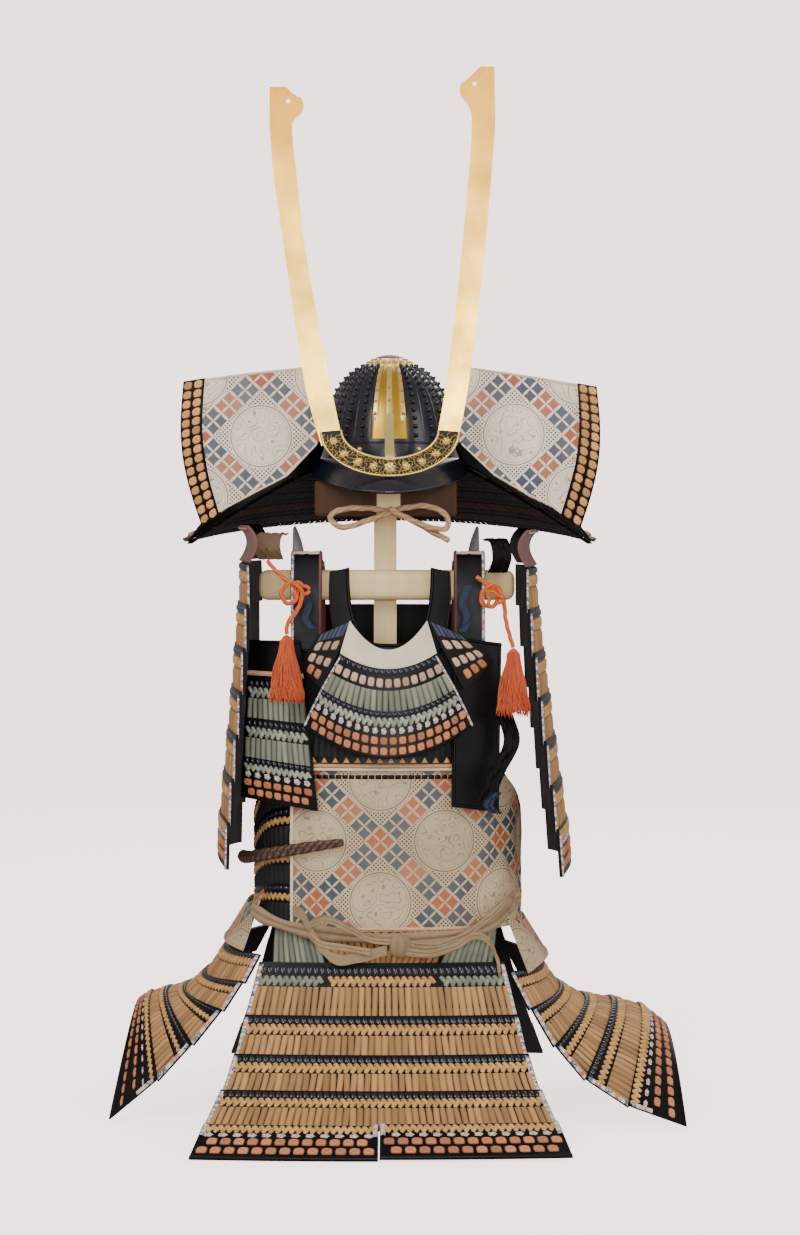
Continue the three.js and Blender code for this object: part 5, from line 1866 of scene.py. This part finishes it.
class ARMOUR_OT_side_skirts(Step, bpy.types.Operator):
    """Make the rows of both side skirts and the leathers that hang them"""
    bl_idname = "armour.side_skirts"
    bl_label = "Side skirts"

    def execute(self, context):
        pitch = context.scene.armour_looks.pitch / MM
        for side, table, sign in (("right", RIGHT_SKIRT, -1), ("left", LEFT_SKIRT, 1)):
            whole = side_skirt(table, sign)
            for row in range(SKIRT_ROWS):
                piece = Piece(f"{side}_row_{row + 1}")
                face = scale_row(piece, whole, SKIRT_ROWS, row, LAME_STEP, (40, 6), 3, 0.03,
                                 lining="lining", overlap=LAME_OVERLAP)
                if row < SKIRT_ROWS - 1:
                    row_looks(piece, face, pitch=pitch)
                    both_edges(piece, face, 0.05, 1)
                else:
                    hem_looks(piece, face)
                    both_edges(piece, face, 0.05, 0.4)
                piece.make("lacing", f"skirt_{side}_{row + 1}")
        for side, *sizes in WAIST_FLAPS:
            face = waist_flap(*sizes)
            piece = Piece(f"waist_flap_{side}")
            piece.shell(face, 30, 10, 2.3, "body_leather", uv=lambda p, u, w: p[..., [1, 2]])
            rail(piece, face, 0.98, 1.5, "rolled", tall=1.8, across=60)
            piece.make("leather", f"waist_leather_{side}")
        return {"FINISHED"}


class ARMOUR_OT_back_skirt(Step, bpy.types.Operator):
    """Make the rows of the back skirt"""
    bl_idname = "armour.back_skirt"
    bl_label = "Back skirt"

    def execute(self, context):
        piece = Piece("laced_back_skirt")
        for row in range(SKIRT_ROWS):
            face = scale_row(piece, back_skirt, SKIRT_ROWS, row, PANEL_STEP, (36, 5), 3.6, 0.06)
            if row < SKIRT_ROWS - 1:
                row_looks(piece, face)
                both_edges(piece, face, 0.05, 1)
            else:
                hem_looks(piece, face)
                both_edges(piece, face, 0.05, 0.4)
        piece.make("lacing", "skirt_back")
        return {"FINISHED"}


class ARMOUR_OT_guards(Step, bpy.types.Operator):
    """Make both shoulder guards and their crown plates"""
    bl_idname = "armour.guards"
    bl_label = "Shoulder guards"

    def execute(self, context):
        for side, sign, top, hem, top_x, hem_x in GUARDS:
            whole = guard(sign, top, hem, top_x, hem_x)
            piece = Piece(f"laced_guard_{side}")
            for row in range(SLEEVE_ROWS):
                face = scale_row(piece, whole, SLEEVE_ROWS, row, SLEEVE_STEP, (36, 5), 4, 0.08,
                                 lining="lining")
                if row < SLEEVE_ROWS - 1:
                    row_looks(piece, face)
                else:
                    hem_looks(piece, face)
                both_edges(piece, face, 0.02, 1, 3.2, tall=2.4, down=10)
            piece.make("lacing", f"shoulder_guard_{side}")
            piece = Piece(f"curled_crown_{side}")
            face = crown(sign, top, top_x)
            piece.shell(face, 40, 16, 3.6, "pink_leather", lining="lining")
            rail(piece, face, 0.02, 2.2, "gilt", across=60)
            piece.make("lacquer", f"crown_plate_{side}")
        return {"FINISHED"}


class ARMOUR_OT_belt(Step, bpy.types.Operator):
    """Make the folded belt, its knot and its bow"""
    bl_idname = "armour.belt"
    bl_label = "Belt"

    def execute(self, context):
        points = [torso(*row) for row in BELT_PATH]
        piece = Piece("belt_strap")
        flat = band_face(points, 22)

        def folded(u, w):
            """The band lies in two soft folds, one over the other, that narrow in places."""
            pinch = 0.5 + (w - 0.5) * (0.82 + 0.18 * np.sin(u * 23))
            return push(flat, u, pinch, 2.4 * np.abs(np.sin(2 * np.pi * w)) + 0.8 * np.sin(u * 31))
        piece.shell(folded, 120, 16, 3, "belt")
        band = piece.make("leather", "belt_band")
        run_length(points) * MM
        piece = Piece("belt_bow")
        piece.shell(band_face(BELT_LOOP, 14), 60, 6, 3, "belt", waver=0.5)
        bow = piece.make("leather", "belt_loop")
        run_length(BELT_LOOP) * MM
        piece = Piece("belt_wrap")
        angle = circle(48)
        line = np.linspace(0.03, np.pi - 0.03, 20)[:, None]
        fold = 1 + 0.07 * np.cos(5 * angle + 1)
        size = np.sin(line) ** 0.6 * fold
        grid = xyz(BELT_KNOT.x + BELT_KNOT.half_width * size * np.cos(angle),
                   BELT_KNOT.y + BELT_KNOT.half_depth * size * np.sin(angle),
                   BELT_KNOT.z + BELT_KNOT.half_height * np.cos(line) + 0 * angle)
        piece.grids(grid[None], "belt", wrap=True)
        piece.make("leather", "belt_knot")
        self.ends()
        return {"FINISHED"}

    def ends(self):
        """The bow's loops and the free end of the belt, narrow bands folded down their
        middle by the size of a sine."""
        for name, points, width, lay in BELT_ENDS:
            piece = Piece(name)
            flat = band_face(points, width)
            piece.shell(lambda u, w: push(flat, u, w, 1.2 * np.abs(np.sin(2 * np.pi * w))), 80, 8,
                        2.2, "belt", waver=0.5)
            made = piece.make("leather")
            run_length(points) * MM


class ARMOUR_OT_stage(Step, bpy.types.Operator):
    """Set up the sweep, a floor that curves up into a round wall, and the lights"""
    bl_idname = "armour.stage"
    bl_label = "Stage"

    def execute(self, context):
        stage = context.scene.armour_stage
        corner = np.linspace(0, np.pi / 2, 12)
        rings, bend = SWEEP.rings, SWEEP.bend
        reach = np.concatenate([rings, rings[-1] + bend * np.sin(corner), [rings[-1] + bend]])
        height = np.concatenate([np.zeros(len(rings)), bend - bend * np.cos(corner),
                                 [SWEEP.wall]])
        turn = circle(96)
        points = xyz(reach[:, None] * np.cos(turn), reach[:, None] * np.sin(turn),
                     height[:, None])
        index = np.arange(points[..., 0].size).reshape(points.shape[:2])
        quads = quads_of(ring_of(index))
        mesh = bpy.data.meshes.new("sweep")
        mesh.from_pydata(points.reshape(-1, 3).tolist(), [], quads.tolist() + [index[0].tolist()])
        mesh.polygons.foreach_set("use_smooth", np.ones(len(quads) + 1, bool))
        look = Look("sweep")
        wash = look.noise(0.6, 2)
        base = look.mix(wash, rgb(238, 231, 230), rgb(234, 227, 226))
        mesh.materials.append(look.finish(base, 0.9))
        look.shader.inputs["Emission Color"].default_value = rgb(250, 230, 226)
        look.shader.inputs["Emission Strength"].default_value = stage.surround
        mesh.materials[0].cycles.emission_sampling = "NONE"
        sweep = bpy.data.objects.new("sweep", mesh)
        for ray in ("diffuse", "glossy", "transmission", "shadow"):
            setattr(sweep, f"visible_{ray}", False)
        context.collection.objects.link(sweep)
        sweep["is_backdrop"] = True
        world = bpy.data.worlds.new("surround")
        world.use_nodes = True
        back = world.node_tree.nodes["Background"]
        back.inputs[0].default_value = rgb(244, 229, 227)
        back.inputs[1].default_value = stage.world
        context.scene.world = world
        for name, place, size, power in LIGHTS:
            data = bpy.data.lights.new(name, "AREA")
            data.energy = getattr(stage, power)
            data.size = size
            light = bpy.data.objects.new(name, data)
            light.location = place
            aim = Vector(LIGHT_AIM) - light.location
            light.rotation_euler = aim.to_track_quat("-Z", "Y").to_euler()
            context.collection.objects.link(light)
        return {"FINISHED"}


OPERATORS = (
    ARMOUR_OT_camera, ARMOUR_OT_cords, ARMOUR_OT_stand, ARMOUR_OT_bowl, ARMOUR_OT_crest,
    ARMOUR_OT_neck_guard, ARMOUR_OT_cuirass, ARMOUR_OT_chest, ARMOUR_OT_apron,
    ARMOUR_OT_shoulders, ARMOUR_OT_front_skirt, ARMOUR_OT_side_skirts, ARMOUR_OT_back_skirt,
    ARMOUR_OT_guards, ARMOUR_OT_belt, ARMOUR_OT_stage)


class ARMOUR_PT_panel(bpy.types.Panel):
    """Lists the armour's settings and operators"""
    bl_label = "Laced armour"
    bl_idname = "ARMOUR_PT_panel"
    bl_space_type = "VIEW_3D"
    bl_region_type = "UI"
    bl_category = "Armour"

    def draw(self, context):
        """One line for each setting and one for each operator."""
        for group in (context.scene.armour_looks, context.scene.armour_stage):
            for name in group.__annotations__:
                self.layout.prop(group, name)
        for operator in OPERATORS:
            self.layout.operator(operator.bl_idname)


CLASSES = (ARMOUR_PG_looks, ARMOUR_PG_stage, *OPERATORS, ARMOUR_PT_panel)


def register():
    """Registers the classes and puts the settings on the scene."""
    for cls in CLASSES:
        bpy.utils.register_class(cls)
    bpy.types.Scene.armour_looks = bpy.props.PointerProperty(type=ARMOUR_PG_looks)
    bpy.types.Scene.armour_stage = bpy.props.PointerProperty(type=ARMOUR_PG_stage)


def unregister():
    """Takes the settings and the classes away again."""
    del bpy.types.Scene.armour_stage
    del bpy.types.Scene.armour_looks
    for cls in reversed(CLASSES):
        bpy.utils.unregister_class(cls)


def main():
    """Builds every piece and the stage."""
    register()
    for operator in OPERATORS:
        group, name = operator.bl_idname.split(".")
        getattr(getattr(bpy.ops, group), name)()
    plain = lambda box: [[float(c) for c in corner] for corner in box]
    {"cad": plain(CAD_BOX), "visual": plain(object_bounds())}


if __name__ == "__main__":
    main()
